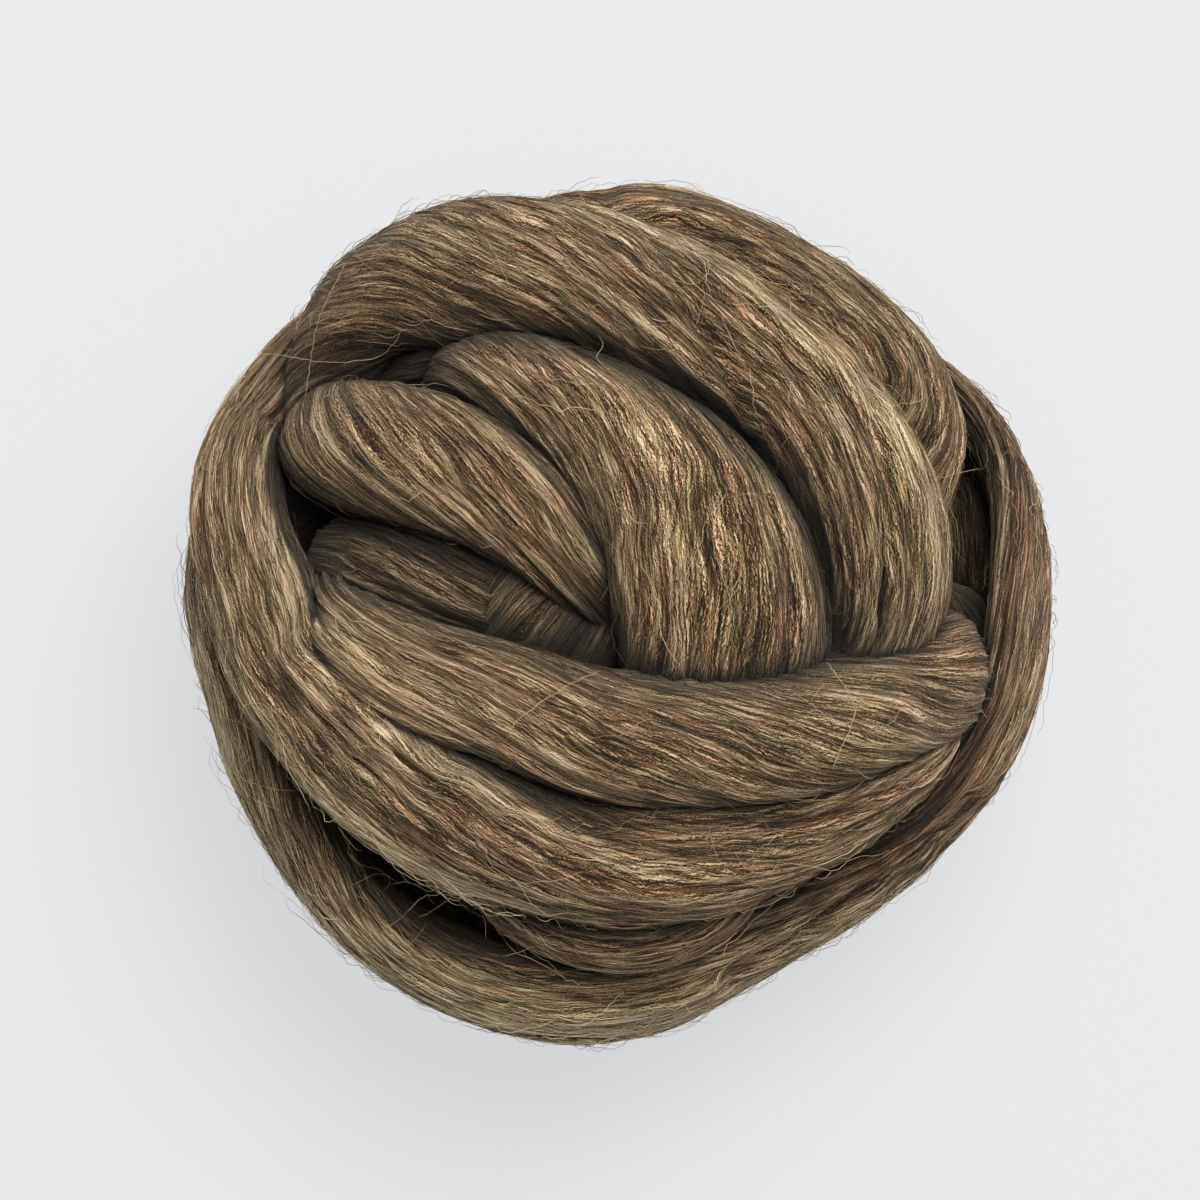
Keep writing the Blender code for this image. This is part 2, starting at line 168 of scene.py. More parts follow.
# A row's numbers are in mm: east and north of the ball's middle, the half of the ball,
# the depth under its outline, and the strand's width and thickness.
WRAPS = {
    "rim": (
        (79, 2, UP, 2, 27, 9),
        (76.5, -20.3, UP, 3.5, 27, 10),
        (66.5, -44, UP, 6.8, 28, 12),
        (48, -63.5, UP, 9.8, 28, 15),
        (24.5, -75.5, UP, 8.6, 29, 17),
        (-2, -79.3, UP, 3.3, 29, 18),
        (-30.5, -74.5, UP, 1.5, 28, 16),
        (-54, -60, UP, 2.2, 28, 15),
        (-70, -39, UP, 4, 28, 15),
        (-78.5, -13.5, UP, 3.5, 28, 16),
        (-80, 12, DOWN, 1, 28, 20),
        (-68, 40, DOWN, 5, 28, 20),
        (-40, 66, DOWN, 6, 28, 20),
        (-4, 77, DOWN, 5, 28, 20),
        (32, 71, DOWN, 7, 28, 18),
        (58, 53, DOWN, 8, 28, 14),
        (69, 41, DOWN, 3.5, 27, 11),
        (76.7, 26.2, UP, 1.5, 27, 9),
    ),
    "back": (
        (-56, 50, DOWN, 16, 24, 18),
        (-39, 65, UP, 10, 26, 20),
        (-20, 73, UP, 3, 28, 22),
        (3, 76, UP, 0, 28, 22),
        (25, 72, UP, 2, 28, 22),
        (44, 62, UP, 3, 28, 23),
        (58, 48, UP, 4, 27, 23),
        (61, 32, UP, 7, 24, 21),
        (56, 19, UP, 17, 22, 18),
        (47, 4, UP, 28, 20, 16),
    ),
    "arch": (
        (-76, -18, DOWN, 16, 20, 16),
        (-77, 10, DOWN, 13, 20, 16),
        (-73, 34, UP, 12, 18, 16),
        (-62, 49, UP, 4, 19, 17),
        (-48, 58, UP, -5, 19, 19),
        (-32, 64, UP, -8, 25, 25),
        (-14, 64, UP, -8, 24, 25),
        (5, 59, UP, -7, 25.5, 26),
        (21, 50, UP, -7, 25, 26),
        (35, 39, UP, -7, 23.5, 26),
        (45, 24, UP, -7, 24.5, 26),
        (50, 10, UP, -4, 23, 24),
        (52, -3, UP, 4, 20, 20),
        (51, -17, UP, 20, 18, 16),
    ),
    "crown": (
        (-46, 56, UP, 26, 14, 14),
        (-38, 55, UP, 16, 15, 14),
        (-29, 52, UP, 8, 18, 17),
        (-12, 43, UP, 3, 22, 22),
        (1, 34, UP, 1, 28, 27),
        (12, 22, UP, 0, 34, 31),
        (19, 8, UP, -1, 38, 32),
        (22, -3, UP, 3, 39, 30),
        (23, -12, UP, 13, 36, 26),
        (24, -23, UP, 28, 30, 18),
    ),
    "inner": (
        (-72, 36, UP, 22, 18, 16),
        (-66, 39, UP, 9, 21, 20),
        (-55, 36, UP, 3, 23, 23),
        (-44, 33, UP, 1, 24, 24),
        (-30, 28, UP, 2, 23, 23),
        (-17, 20, UP, 6, 20, 20),
        (-6, 9, UP, 12, 16, 16),
        (6, -4, UP, 26, 14, 14),
    ),
    "hollow": (
        (-78, 12, UP, 28, 16, 14),
        (-68, 12, UP, 17, 18, 16),
        (-58, 11, UP, 16, 20, 16),
        (-46, 9, UP, 15, 20, 17),
        (-34, 6, UP, 15, 19, 16),
        (-22, 3, UP, 18, 16, 13),
        (-10, 0, UP, 25, 13, 12),
    ),
    "dive_west": (
        (-8, 16, UP, 30, 18, 12),
        (-15, 7, UP, 18, 19, 13),
        (-20, -1, UP, 15, 20, 14),
        (-26, -13, UP, 25, 18, 12),
    ),
    "dive_east": (
        (2, 8, UP, 32, 14, 12),
        (-3, 1, UP, 21, 14, 12),
        (-6, -6, UP, 18, 14, 13),
        (-11, -17, UP, 27, 13, 12),
    ),
    "front": (
        (-72, 8, UP, 24, 12, 12),
        (-59, 0, UP, 9, 12, 14),
        (-41, -10, UP, 1, 17, 19),
        (-22, -17, UP, -1, 20, 23),
        (-2, -23, UP, -3, 23, 25),
        (18, -24, UP, -3, 24, 26),
        (36, -22, UP, -3, 23, 26),
        (51, -17.5, UP, -1, 22.5, 25),
        (63.5, -12.5, UP, 2, 24, 22),
        (71, -10, UP, 13, 21, 18),
        (71, -8, UP, 30, 17, 16),
    ),
    "west": (
        (-10, 62, DOWN, 7, 24, 18),
        (-34, 68, DOWN, 3, 22, 18),
        (-52, 60, DOWN, 1, 20, 18),
        (-65, 48, UP, 0, 15, 15),
        (-72, 36, UP, -1, 17, 15),
        (-74, 20, UP, -2, 19, 16),
        (-71, 4, UP, -1, 22, 18),
        (-65, -10, UP, -1, 24, 20),
        (-53, -22.5, UP, -1, 29, 24),
        (-40, -32, UP, -1, 30, 24),
        (-24.5, -40, UP, -1, 27, 24),
        (-9, -45, UP, -1, 26, 24),
        (8, -46, UP, -1, 26, 24),
        (24, -43, UP, 0, 25, 24),
        (38, -38, UP, 1, 23, 22),
        (51, -31, UP, 3, 21, 20),
        (62, -23, UP, 6, 17, 18),
        (68, -13, UP, 20, 13, 14),
    ),
    "fold": (
        (-46, -46, UP, 30, 14, 12),
        (-33, -56, UP, 19, 15, 14),
        (-19, -62, UP, 9, 14, 15),
        (-3, -64, UP, 5, 15, 16),
        (11, -62, UP, 5, 15, 16),
        (22, -56, UP, 8, 13, 14),
        (32, -47, UP, 22, 12, 12),
    ),
    "under": (
        (-68, 2, UP, 17, 24, 16),
        (-64, -20, UP, 14, 26, 18),
        (-50, -40, UP, 14, 28, 18),
        (-28, -54, UP, 14, 28, 18),
        (-2, -60, UP, 14, 28, 18),
        (24, -57, UP, 14, 28, 18),
        (48, -44, UP, 16, 28, 18),
        (65, -24, UP, 19, 24, 16),
        (68, -2, UP, 26, 20, 14),
        (64, 20, UP, 34, 20, 14),
    ),
    "belt": (
        (-76, 16, DOWN, 16, 24, 16),
        (-79, -12, DOWN, 8, 27, 18),
        (-66, -45, DOWN, 4, 30, 20),
        (-38, -69, DOWN, 2, 30, 20),
        (-4, -79, DOWN, 2, 30, 20),
        (28, -71, DOWN, 8, 30, 20),
        (57, -50, DOWN, 9, 30, 20),
        (76, -20, DOWN, 8, 28, 18),
        (79, 8, DOWN, 16, 24, 14),
    ),
    "base_ring": (
        (74, -6, DOWN, 2, 32, 20),
        (58, -38, DOWN, 4, 29, 20),
        (24, -60, DOWN, 5, 29, 20),
        (-18, -66, DOWN, 3, 29, 20),
        (-54, -50, DOWN, 2, 29, 20),
        (-72, -16, DOWN, 3, 29, 20),
        (-66, 20, DOWN, 4, 29, 20),
        (-40, 48, DOWN, 4, 29, 20),
        (-2, 62, DOWN, 3, 29, 20),
        (38, 60, DOWN, 3, 29, 20),
        (66, 32, DOWN, 3, 32, 20),
    ),
}
WRAPS = {name: [Section(*row) for row in rows] for name, rows in WRAPS.items()}
CLOSED_WRAPS = ("rim", "base_ring")

BANDS = {
    "lower_1": Band(24, -50, 9, 28, 20),
    "lower_2": Band(20, -25, 9, 29, 20),
    "lower_3": Band(15, 1, 9, 29, 20),
    "lower_4": Band(18, 27, 9, 29, 20),
    "lower_5": Band(22, 51, 9, 28, 20),
    "across_1": Band(-64, -31, 1, 30, 22),
    "across_2": Band(-58, -2, -1, 33, 22),
    "across_3": Band(-66, 28, 1, 30, 22),
}
BAND_REACH = 76
BAND_END_DEPTH = 21
BAND_ROWS = 9
print(len(WRAPS), "wraps and", len(BANDS), "bands")

# %% [markdown]
# ## Lofting a wrap
#
# A wrap is a tube through its sections. Its columns don't run straight along it: they
# turn round it as the combed fibres do, steeply where the strand was twisted as it was
# laid. A lock is then simply a few neighbouring columns raised together, and it never
# cuts across the mesh. The columns also give each point its place in the combed wool:
# how far along the strand it is, and where round it, which the locks, the fibres and
# the colours all share.

# %% The path of a wrap


def smooth_rows(rows, closed, per_row):
    """Points on one Catmull-Rom curve through the rows, per_row of them for each span."""
    count = len(rows)
    made = []
    for k in range(count if closed else count - 1):
        if closed:
            near = [rows[(k + j) % count] for j in (-1, 0, 1, 2)]
        else:
            near = [rows[min(max(k + j, 0), count - 1)] for j in (-1, 0, 1, 2)]
        before, start, end, after = near
        for share in np.arange(per_row) / per_row:
            made.append(
                0.5 * (2 * start
                       + (end - before) * share
                       + (2 * before - 5 * start + 4 * end - after) * share ** 2
                       + (3 * start - before - 3 * end + after) * share ** 3)
            )
    if not closed:
        made.append(rows[-1])
    return np.array(made)


def direction_of(section):
    """The section's direction from the ball's middle, on a ball of radius 1."""
    flat = np.array((section.east, section.north)) * MM / BALL_RADIUS
    up = math.sqrt(max(0.0, 1 - float(flat @ flat)))
    way = np.array((flat[0], flat[1], up * section.half))
    return way / np.linalg.norm(way)


def band_sections(band):
    """The sections of a band: an arc in an upright plane, across the ball's lower half."""
    bearing = math.radians(band.bearing)
    run = np.array((math.cos(bearing), math.sin(bearing)))
    beside = np.array((-run[1], run[0])) * band.offset * MM / BALL_RADIUS
    reach = math.sqrt(1 - float(beside @ beside))
    rows = []
    for share in np.linspace(-1, 1, BAND_ROWS):
        swing = math.radians(BAND_REACH) * share
        point = (beside + run * reach * math.sin(swing)) * BALL_RADIUS / MM
        depth = band.depth + (BAND_END_DEPTH - band.depth) * share ** 4
        rows.append(Section(point[0], point[1], DOWN, depth, band.width, band.thick))
    return tuple(rows)


def unit_rows(rows):
    return rows / np.linalg.norm(rows, axis=1)[:, None]


def wrap_path(sections, closed, ring_gap):
    """Centres, sideways and outward directions, widths and thicknesses along a wrap."""
    rows = np.array([
        (*direction_of(s), s.depth * MM, s.width * MM, s.thick * MM) for s in sections
    ])
    span = BALL_RADIUS * np.linalg.norm(np.diff(rows[:, :3], axis=0), axis=1).mean()
    fine = smooth_rows(rows, closed, max(2, round(span / ring_gap)))
    unit = unit_rows(fine[:, :3])
    size = np.array((BALL_RADIUS, BALL_RADIUS, BALL_HALF_HEIGHT))
    normal = unit_rows(unit / size)
    crest = BALL_CENTRE + unit * size - normal * fine[:, 3:4]
    centre = crest - normal * fine[:, 5:6] / 2
    if closed:
        tangent = np.roll(centre, -1, axis=0) - np.roll(centre, 1, axis=0)
    else:
        tangent = np.gradient(centre, axis=0)
    tangent = unit_rows(tangent)
    side = unit_rows(np.cross(tangent, normal))
    return centre, side, np.cross(side, tangent), fine[:, 4], fine[:, 5]


# %% [markdown]
# ## Twist, clefts and painted light lines
#
# No two wraps look alike. The strand was twisted here and there as it was laid, a few
# deep grooves part its locks, and along some edges loose fibres catch the light. These
# belong to places on the ball and not to the strand as a whole, so they are given one by
# one: a rate of turn for each wrap, lines seen from above that sink the wool near them,
# and lines along which painted highlights and painted shade lighten or darken it.

# %% How the fibres turn round each wrap
# Turn of the fibres in radians per metre, at even steps from a wrap's start to its end.
TURNS = {
    "arch": (20, 85, 30, 10, 6),
    "crown": (30, 30, 27, 18, 12),
    "inner": (100, 80, 40, 15, 8),
    "front": (5, 10, 30, 60, 15),
    "west": (8, 10, 12, 18, 20),
    "dive_west": (60, 40),
    "dive_east": (50, 30),
    "hollow": (12, 25, 45),
}
PLAIN_TURN = (8, 8)
print(len(TURNS), "wraps have a twist of their own")

# %% Clefts
# A cleft is a groove along a line seen from above: how deep it is, how wide to each side
# and where it runs, all in mm. A negative depth is a ridge.
Cleft = namedtuple("Cleft", "depth width line")
CLEFTS = {
    "arch": (
        Cleft(2.4, 1.3, ((13, 54), (16, 49), (19, 43), (21.5, 37), (23, 33))),
        Cleft(1.6, 1.4, ((43, 44), (45, 34), (46.5, 22), (47, 10), (46, 0))),
    ),
    "west": (
        Cleft(-1.0, 2.4, ((-50, -15), (-42, -19), (-33, -24), (-28, -30), (-20, -41),
                          (0, -47), (10, -50), (25, -52))),
        Cleft(-4.2, 4.6, ((-54, -6), (-46, -14), (-39, -20), (-31, -25))),
    ),
    "front": (
        Cleft(-4.2, 4.6, ((-54, -6), (-46, -14), (-39, -20), (-31, -25))),
    ),
    "back": (
        Cleft(3.0, 2.8, ((-3, 74.5), (6, 71.5), (15.2, 67.8), (24.6, 61.4), (33.7, 54),
                         (42.8, 47.2), (48.3, 41), (53, 34.4), (56.6, 25.2))),
    ),
    "rim": (
        Cleft(3.4, 1.9, ((64, -34), (58, -42), (50, -48), (42, -53), (32, -60), (20, -66))),
    ),
}
print(sum(len(lines) for lines in CLEFTS.values()), "clefts and ridges")

# %% Painted highlight and shade lines
# A painted light line lightens or darkens the wool's colour along a line seen from above:
# by how much, how wide to each side and where it runs. A positive amount is painted
# highlight, on edges where loose fibres catch the light and on sides that take more light.
# A negative amount is painted shade, where the wool turns under its neighbour and lies in
# shade.
Pale = namedtuple("Pale", "amount width line")
ARCH_EDGE_HIGHLIGHT = Pale(0.20, 2.3, (
    (-9, 72), (-3.5, 71), (5, 68.5), (14, 65), (23, 58), (32, 50), (40, 43),
    (47, 36), (51.5, 28), (54.5, 20), (56, 10), (56.5, 2)))
ARCH_UNDERSIDE_SHADE = Pale(-0.26, 3.6, (
    (-62, 46), (-52, 48.5), (-39, 50), (-25, 50), (-11, 47), (3.5, 42.5),
    (14, 37.5), (22, 32.5), (30, 22), (34, 12)))
WEST_OUTER_HIGHLIGHT = Pale(0.20, 3.2, (
    (-72, 4), (-70, -14), (-60, -27), (-49, -35), (-39, -42), (-22, -50), (-6, -54)))
WEST_INNER_HIGHLIGHT = Pale(0.12, 2.6, (
    (-63, 12), (-58, -4), (-50, -14), (-36, -22.5), (-21, -33), (-10, -40), (4, -44)))
WEST_LOW_SHADE = Pale(-0.11, 5.0, ((-41, -34), (-24, -41), (-6, -46)))
GAP_EDGE_SHADE = Pale(-0.34, 2.8, (
    (64, 38), (68, 32), (70, 25), (70, 17.5), (68.5, 10), (67.5, -1),
    (65, -15), (62, -26), (56, -34), (46, -44)))
RIM_SOUTH_LIGHT = Pale(0.29, 5.5, (
    (-78, -10), (-73, -31), (-65, -45), (-53, -57), (-36, -67), (-17, -73.5),
    (2, -75.5), (21, -73), (36, -66), (49, -57)))
FRONT_END_SHADE = Pale(-0.14, 5.0, ((52, 3), (58, 3.5), (64, 0)))
FRONT_RIGHT_LIGHT = Pale(0.07, 8.0, ((27, -14), (40, -17), (54, -21)))
INNER_UNDERSIDE_SHADE = Pale(-0.20, 2.6, ((-60, 20), (-48, 16), (-33, 12), (-20, 6), (-8, 0)))
PAINTED_LIGHT_LINES = {
    "arch": (ARCH_EDGE_HIGHLIGHT, ARCH_UNDERSIDE_SHADE),
    "back": (ARCH_EDGE_HIGHLIGHT,),
    "west": (WEST_OUTER_HIGHLIGHT, WEST_INNER_HIGHLIGHT, WEST_LOW_SHADE),
    "rim": (GAP_EDGE_SHADE, RIM_SOUTH_LIGHT),
    "under": (GAP_EDGE_SHADE,),
    "dive_east": (GAP_EDGE_SHADE,),
    "front": (FRONT_END_SHADE, FRONT_RIGHT_LIGHT),
    "fold": (RIM_SOUTH_LIGHT,),
    "belt": (RIM_SOUTH_LIGHT,),
    "inner": (INNER_UNDERSIDE_SHADE,),
    "hollow": (INNER_UNDERSIDE_SHADE,),
}
print(sum(len(lines) for lines in PAINTED_LIGHT_LINES.values()), "pale and dark lines on the wraps")

# %% How near a point is to a line


def distance_to_line(points, line):
    """How far each point, seen from above, is from a line of joined stretches."""
    nearest = np.full(len(points), np.inf)
    for start, end in zip(line, line[1:]):
        start, end = np.array(start) * MM, np.array(end) * MM
        run = end - start
        share = np.clip((points - start) @ run / (run @ run), 0, 1)
        off = points - start - share[:, None] * run
        nearest = np.minimum(nearest, np.linalg.norm(off, axis=1))
    return nearest


def nearness(points, line, width):
    """1 on a line seen from above, falling smoothly to 0 a few widths away."""
    return np.exp(-(distance_to_line(points[:, :2], line) / (width * MM)) ** 2)


# %% How fine each wrap is, and how its maps are laid out
FINE = {"columns": 128, "ring_gap": 2.5 * MM}
COARSE = {"columns": 80, "ring_gap": 3.4 * MM}
HIDDEN = {"columns": 56, "ring_gap": 4.5 * MM}
COARSE_WRAPS = ("belt", "base_ring", "under")
COMB_RADIUS = 12.5 * MM  # the strand's radius, wherever the pattern is laid round it
WRAP_APART = 0.5  # metres between one wrap's pattern and the next one's
LAY_ROUND = 75 * MM  # once round the strand, on the "lay" map
LAY_STEP = 100 * MM  # from one wrap's row to the next on that map
END_LENGTH = 7 * MM
SMALLEST_END = 0.05
CALMING_TURN = 45
MOST_SLANT = 1.2
FOLD_MARGIN = 0.012
BODY_SHARE = 0.975  # of the bake sheet; the closed ends share the rest
END_GAP = 0.002
END_TRIANGLE_X = (-0.4, 0.4, 0.0)
END_TRIANGLE_Y = (0.0, 0.0, 0.8)

# %% The tube of a wrap


def turn_along(name, along, closed):
    """The fibres' rate of turn at each ring, and how far they have turned, in radians."""
    rates = TURNS.get(name, PLAIN_TURN)
    if closed:  # one whole turn, so that the columns meet where the ring closes
        rates = (2 * math.pi / along[-1],) * 2
    here = np.interp(along / along[-1], np.linspace(0, 1, len(rates)), rates)
    return here, np.concatenate([[0], np.cumsum((here[1:] + here[:-1]) / 2 * np.diff(along))])


def rounded(values):
    """A cosine or sine, filled out so that the section is a little square."""
    return np.sign(values) * np.abs(values) ** (2 / SQUARENESS)


def end_sizes(to_end):
    """The tube's size near an open end: it closes there as a round cap does."""
    return np.sqrt(1 - (1 - np.clip(to_end / END_LENGTH, SMALLEST_END, 1)) ** 2)


def tube_points(name, path, size, turned, columns):
    """The tube's points, with its clefts sunk in, and the painted light and shade on each."""
    centre, side, outward, widths, thicks = path
    angle = 2 * math.pi * np.arange(columns)[None, :] / columns - turned[:, None]
    across, out = rounded(np.cos(angle)), rounded(np.sin(angle))
    points = (centre[:, None, :]
              + (across * (widths * size / 2)[:, None])[:, :, None] * side[:, None, :]
              + (out * (thicks * size / 2)[:, None])[:, :, None] * outward[:, None, :])
    faces_up = out > 0
    for cleft in CLEFTS.get(name, ()):
        near = nearness(points.reshape(-1, 3), cleft.line, cleft.width).reshape(out.shape)
        sink = cleft.depth * MM * near * faces_up
        points -= sink[:, :, None] * outward[:, None, :]
    points = points.reshape(-1, 3)
    pale = np.zeros(len(points))
    for edge in PAINTED_LIGHT_LINES.get(name, ()):
        pale += edge.amount * nearness(points, edge.line, edge.width) * faces_up.ravel()
    return points, pale


def tube_faces(rings, columns, closed):
    """Which ring and column each face starts at, the faces, and the fans at open ends."""
    ring, place_round = np.meshgrid(np.arange(rings), np.arange(columns), indexing="ij")
    if not closed:
        ring, place_round = ring[:-1], place_round[:-1]
    ring, place_round = ring.ravel(), place_round.ravel()
    after, beyond = (ring + 1) % rings, (place_round + 1) % columns
    faces = np.stack([
        ring * columns + place_round, after * columns + place_round,
        after * columns + beyond, ring * columns + beyond,
    ], axis=1).tolist()
    fans = []
    if not closed:
        first, last, last_ring = rings * columns, rings * columns + 1, (rings - 1) * columns
        for j in range(columns):
            fans.append((first, j, (j + 1) % columns))
            fans.append((last, last_ring + (j + 1) % columns, last_ring + j))
    return ring, place_round, faces, fans


# %% A wrap's place in the combed wool


def store_values(wrap, values, rings, columns):
    """Stores one number for each point. The two end points, if any, keep the last one."""
    for label, (numbers, at_ends) in values.items():
        full = np.full(len(wrap.data.vertices), at_ends)
        full[:rings * columns] = numbers
        wrap.data.attributes.new(label, "FLOAT", "POINT").data.foreach_set("value", full)


def comb(wrap, number, along, length, closed, columns):
    """Where each point is in the combed wool. On a ring, two numbers close the pattern."""
    rings = len(along)
    column, lap = 2 * math.pi * np.arange(columns) / columns, along / length * 2 * math.pi
    combed = np.zeros((len(wrap.data.vertices), 3))
    body = combed[:rings * columns].reshape(rings, columns, 3)
    body[:, :, 0] = COMB_RADIUS * np.cos(column)[None, :] + WRAP_APART * number
    body[:, :, 1] = COMB_RADIUS * np.sin(column)[None, :]
    body[:, :, 2] = (length / (2 * math.pi) * np.cos(lap) if closed else along)[:, None]
    looped = length / (2 * math.pi) * np.sin(lap) if closed else np.zeros(rings)
    wrap.data.attributes.new("combed", "FLOAT_VECTOR", "POINT").data.foreach_set(
        "vector", combed.ravel())
    return np.repeat(looped, columns)


# %% A wrap's two flat maps


def flat_maps(wrap, number, ring, place_round, edges_along, columns, end_faces):
    """"lay" is in metres, and "OFBake" is the same map folded to fill its sheet."""
    corners_along = edges_along[np.stack([ring, ring + 1, ring + 1, ring], axis=1)]
    corners_round = np.stack(
        [place_round, place_round, place_round + 1, place_round + 1], axis=1) / columns
    off_map = np.full((end_faces * 3, 2), -1.0)
    lay_y = corners_round.ravel() * LAY_ROUND + LAY_STEP * number
    lay = np.stack([corners_along.ravel(), lay_y], axis=1)
    wrap.data.uv_layers.new(name="lay").uv.foreach_set(
        "vector", np.vstack([lay, off_map]).ravel())

    folds = max(1, round(math.sqrt(edges_along[-1] / LAY_ROUND)))
    rings_a_fold = math.ceil((ring.max() + 1) / folds)
    fold, step = ring // rings_a_fold, ring % rings_a_fold
    sheet_x = np.stack([step, step + 1, step + 1, step], axis=1) / rings_a_fold
    folded = fold[:, None] + FOLD_MARGIN + (1 - 2 * FOLD_MARGIN) * corners_round
    sheet_y = folded / folds * BODY_SHARE
    sheet = np.stack([sheet_x.ravel(), sheet_y.ravel()], axis=1)
    places = (np.arange(end_faces) + 0.5) / max(1, end_faces)
    end_x = places[:, None] + np.array(END_TRIANGLE_X) / max(1, end_faces)
    end_y = np.array(END_TRIANGLE_Y) * (1 - BODY_SHARE) + BODY_SHARE + END_GAP
    end_y = np.tile(end_y, (end_faces, 1))
    ends_sheet = np.stack([end_x.ravel(), end_y.ravel()], axis=1)
    wrap.data.uv_layers.new(name="OFBake").uv.foreach_set(
        "vector", np.vstack([sheet, ends_sheet]).ravel())


# %% Loft every wrap


def loft_wrap(number, name, sections, columns, ring_gap):
    """One wrap as a closed tube, with its place in the combed wool on each point."""
    closed = name in CLOSED_WRAPS
    path = wrap_path(sections, closed, ring_gap)
    centre = path[0]
    rings = len(centre)
    steps = np.linalg.norm(np.diff(centre, axis=0, append=centre[:1]), axis=1)
    along = np.concatenate([[0], np.cumsum(steps)])
    if not closed:
        along = along[:-1]  # the last step would lead back to the start
    length = along[-1]
    rate, turned = turn_along(name, along, closed)
    rate, turned = rate[:rings], turned[:rings]
    size = np.ones(rings) if closed else end_sizes(np.minimum(along, length - along))

    points, pale = tube_points(name, path, size, turned, columns)
    ring, place_round, faces, fans = tube_faces(rings, columns, closed)
    if not closed:
        points = np.vstack([points, centre[:1], centre[-1:]])
    wrap = plain_mesh(name, points, faces + fans)
    looped = comb(wrap, number, along[:rings], length, closed, columns)
    slant = 1 + np.minimum(COMB_RADIUS * rate, MOST_SLANT) ** 2
    store_values(wrap, {
        "relief": (np.repeat(size / (1 + (rate / CALMING_TURN) ** 2), columns), 0.0),
        "slant": (np.repeat(slant, columns), 1.0),
        "pale": (pale, 0.0),
        "looped": (looped, 0.0),
    }, rings, columns)
    flat_maps(wrap, number, ring, place_round, along, columns, len(fans))
    wrap.data.shade_smooth()
    return wrap


bare_wraps = []
for name, sections in WRAPS.items():
    grain = COARSE if name in COARSE_WRAPS else FINE
    bare_wraps.append(loft_wrap(len(bare_wraps), name, sections, **grain))
for name, band in BANDS.items():
    grain = HIDDEN if name.startswith("lower") else COARSE
    bare_wraps.append(loft_wrap(len(bare_wraps), name, band_sections(band), **grain))
print("lofted:", sum(len(wrap.data.polygons) for wrap in bare_wraps), "faces")

# %% [markdown]
# ## Raising the locks
#
# Combed fibres gather into locks, a few millimetres wide and many centimetres long, with
# sharp grooves between. Folded noise has that form: where smooth noise crosses its
# middle value, its distance from that value makes a narrow valley between two rounded
# ridges. The noise is stretched along the strand, so its ridges become locks. A node
# tree moves every wrap in the same way, and then presses flat what rests on the table.
#
# Node trees are mostly sums. The helpers below let a sum in a tree be written as a sum:
# each plus or times between two wires adds one Math node.

# %% Helpers that add nodes and wire them


class Wire:
    """What comes out of a node. A sum with it adds a Math node."""

    def __init__(self, tree, socket):
        self.tree, self.socket = tree, socket
        self.is_vector = socket.type in ("VECTOR", "RGBA")

    def __add__(self, other):
        return maths("ADD", self, other)

    def __radd__(self, other):
        return maths("ADD", other, self)

    def __sub__(self, other):
        return maths("SUBTRACT", self, other)

    def __rsub__(self, other):
        return maths("SUBTRACT", other, self)

    def __mul__(self, other):
        return maths("MULTIPLY", self, other)

    def __truediv__(self, other):
        return maths("DIVIDE", self, other)

    def __rtruediv__(self, other):
        return maths("DIVIDE", other, self)

    def __pow__(self, other):
        return maths("POWER", self, other)


def place(tree, kind, wires=None, **settings):
    """Adds a node, sets its properties, then wires or sets its inputs."""
    node = tree.nodes.new(kind)
    for name, value in settings.items():
        setattr(node, name, value)
    for key, value in (wires or {}).items():
        if isinstance(value, Wire):
            tree.links.new(value.socket, node.inputs[key])
        else:
            node.inputs[key].default_value = value
    return node


def result(tree, kind, wires=None, output=0, **settings):
    """Adds a node, and gives what comes out of it."""
    return Wire(tree, place(tree, kind, wires, **settings).outputs[output])


def results(tree, kind, wires, outputs, **settings):
    """Adds a node, and gives several of its outputs."""
    node = place(tree, kind, wires, **settings)
    return [Wire(tree, node.outputs[output]) for output in outputs]


def maths(operation, *values, clamp=False):
    """A Math node, or a Vector Math node where one of the values is a vector."""
    tree = next(value.tree for value in values if isinstance(value, Wire))
    wires = dict(enumerate(values))
    vectors = [isinstance(v, tuple) or getattr(v, "is_vector", False) for v in values]
    if not any(vectors):
        return result(tree, "ShaderNodeMath", wires, operation=operation, use_clamp=clamp)
    if operation == "MULTIPLY" and not vectors[1]:
        wires, operation = {0: values[0], "Scale": values[1]}, "SCALE"
    output = 1 if operation in ("DOT_PRODUCT", "LENGTH") else 0
    return result(tree, "ShaderNodeVectorMath", wires, output, operation=operation)


def split(vector):
    """The three numbers of a vector."""
    return results(vector.tree, "ShaderNodeSeparateXYZ", {0: vector}, (0, 1, 2))


def combined(tree, x=0.0, y=0.0, z=0.0):
    """A vector from three numbers."""
    return result(tree, "ShaderNodeCombineXYZ", {0: x, 1: y, 2: z})


def smooth_noise(vector, across, detail, output="Fac", looped=None, roughness=0.5):
    """Noise with bumps of a given size. looped, if any, is its fourth coordinate."""
    wires = {"Vector": vector, "Scale": 1.0 / across, "Detail": detail, "Roughness": roughness}
    settings = {}
    if looped is not None:
        wires["W"], settings["noise_dimensions"] = looped, "4D"
    return result(vector.tree, "ShaderNodeTexNoise", wires, output, **settings)


# %% Helpers for node trees with named inputs


def as_label(name):
    return name.replace("_", " ").capitalize()


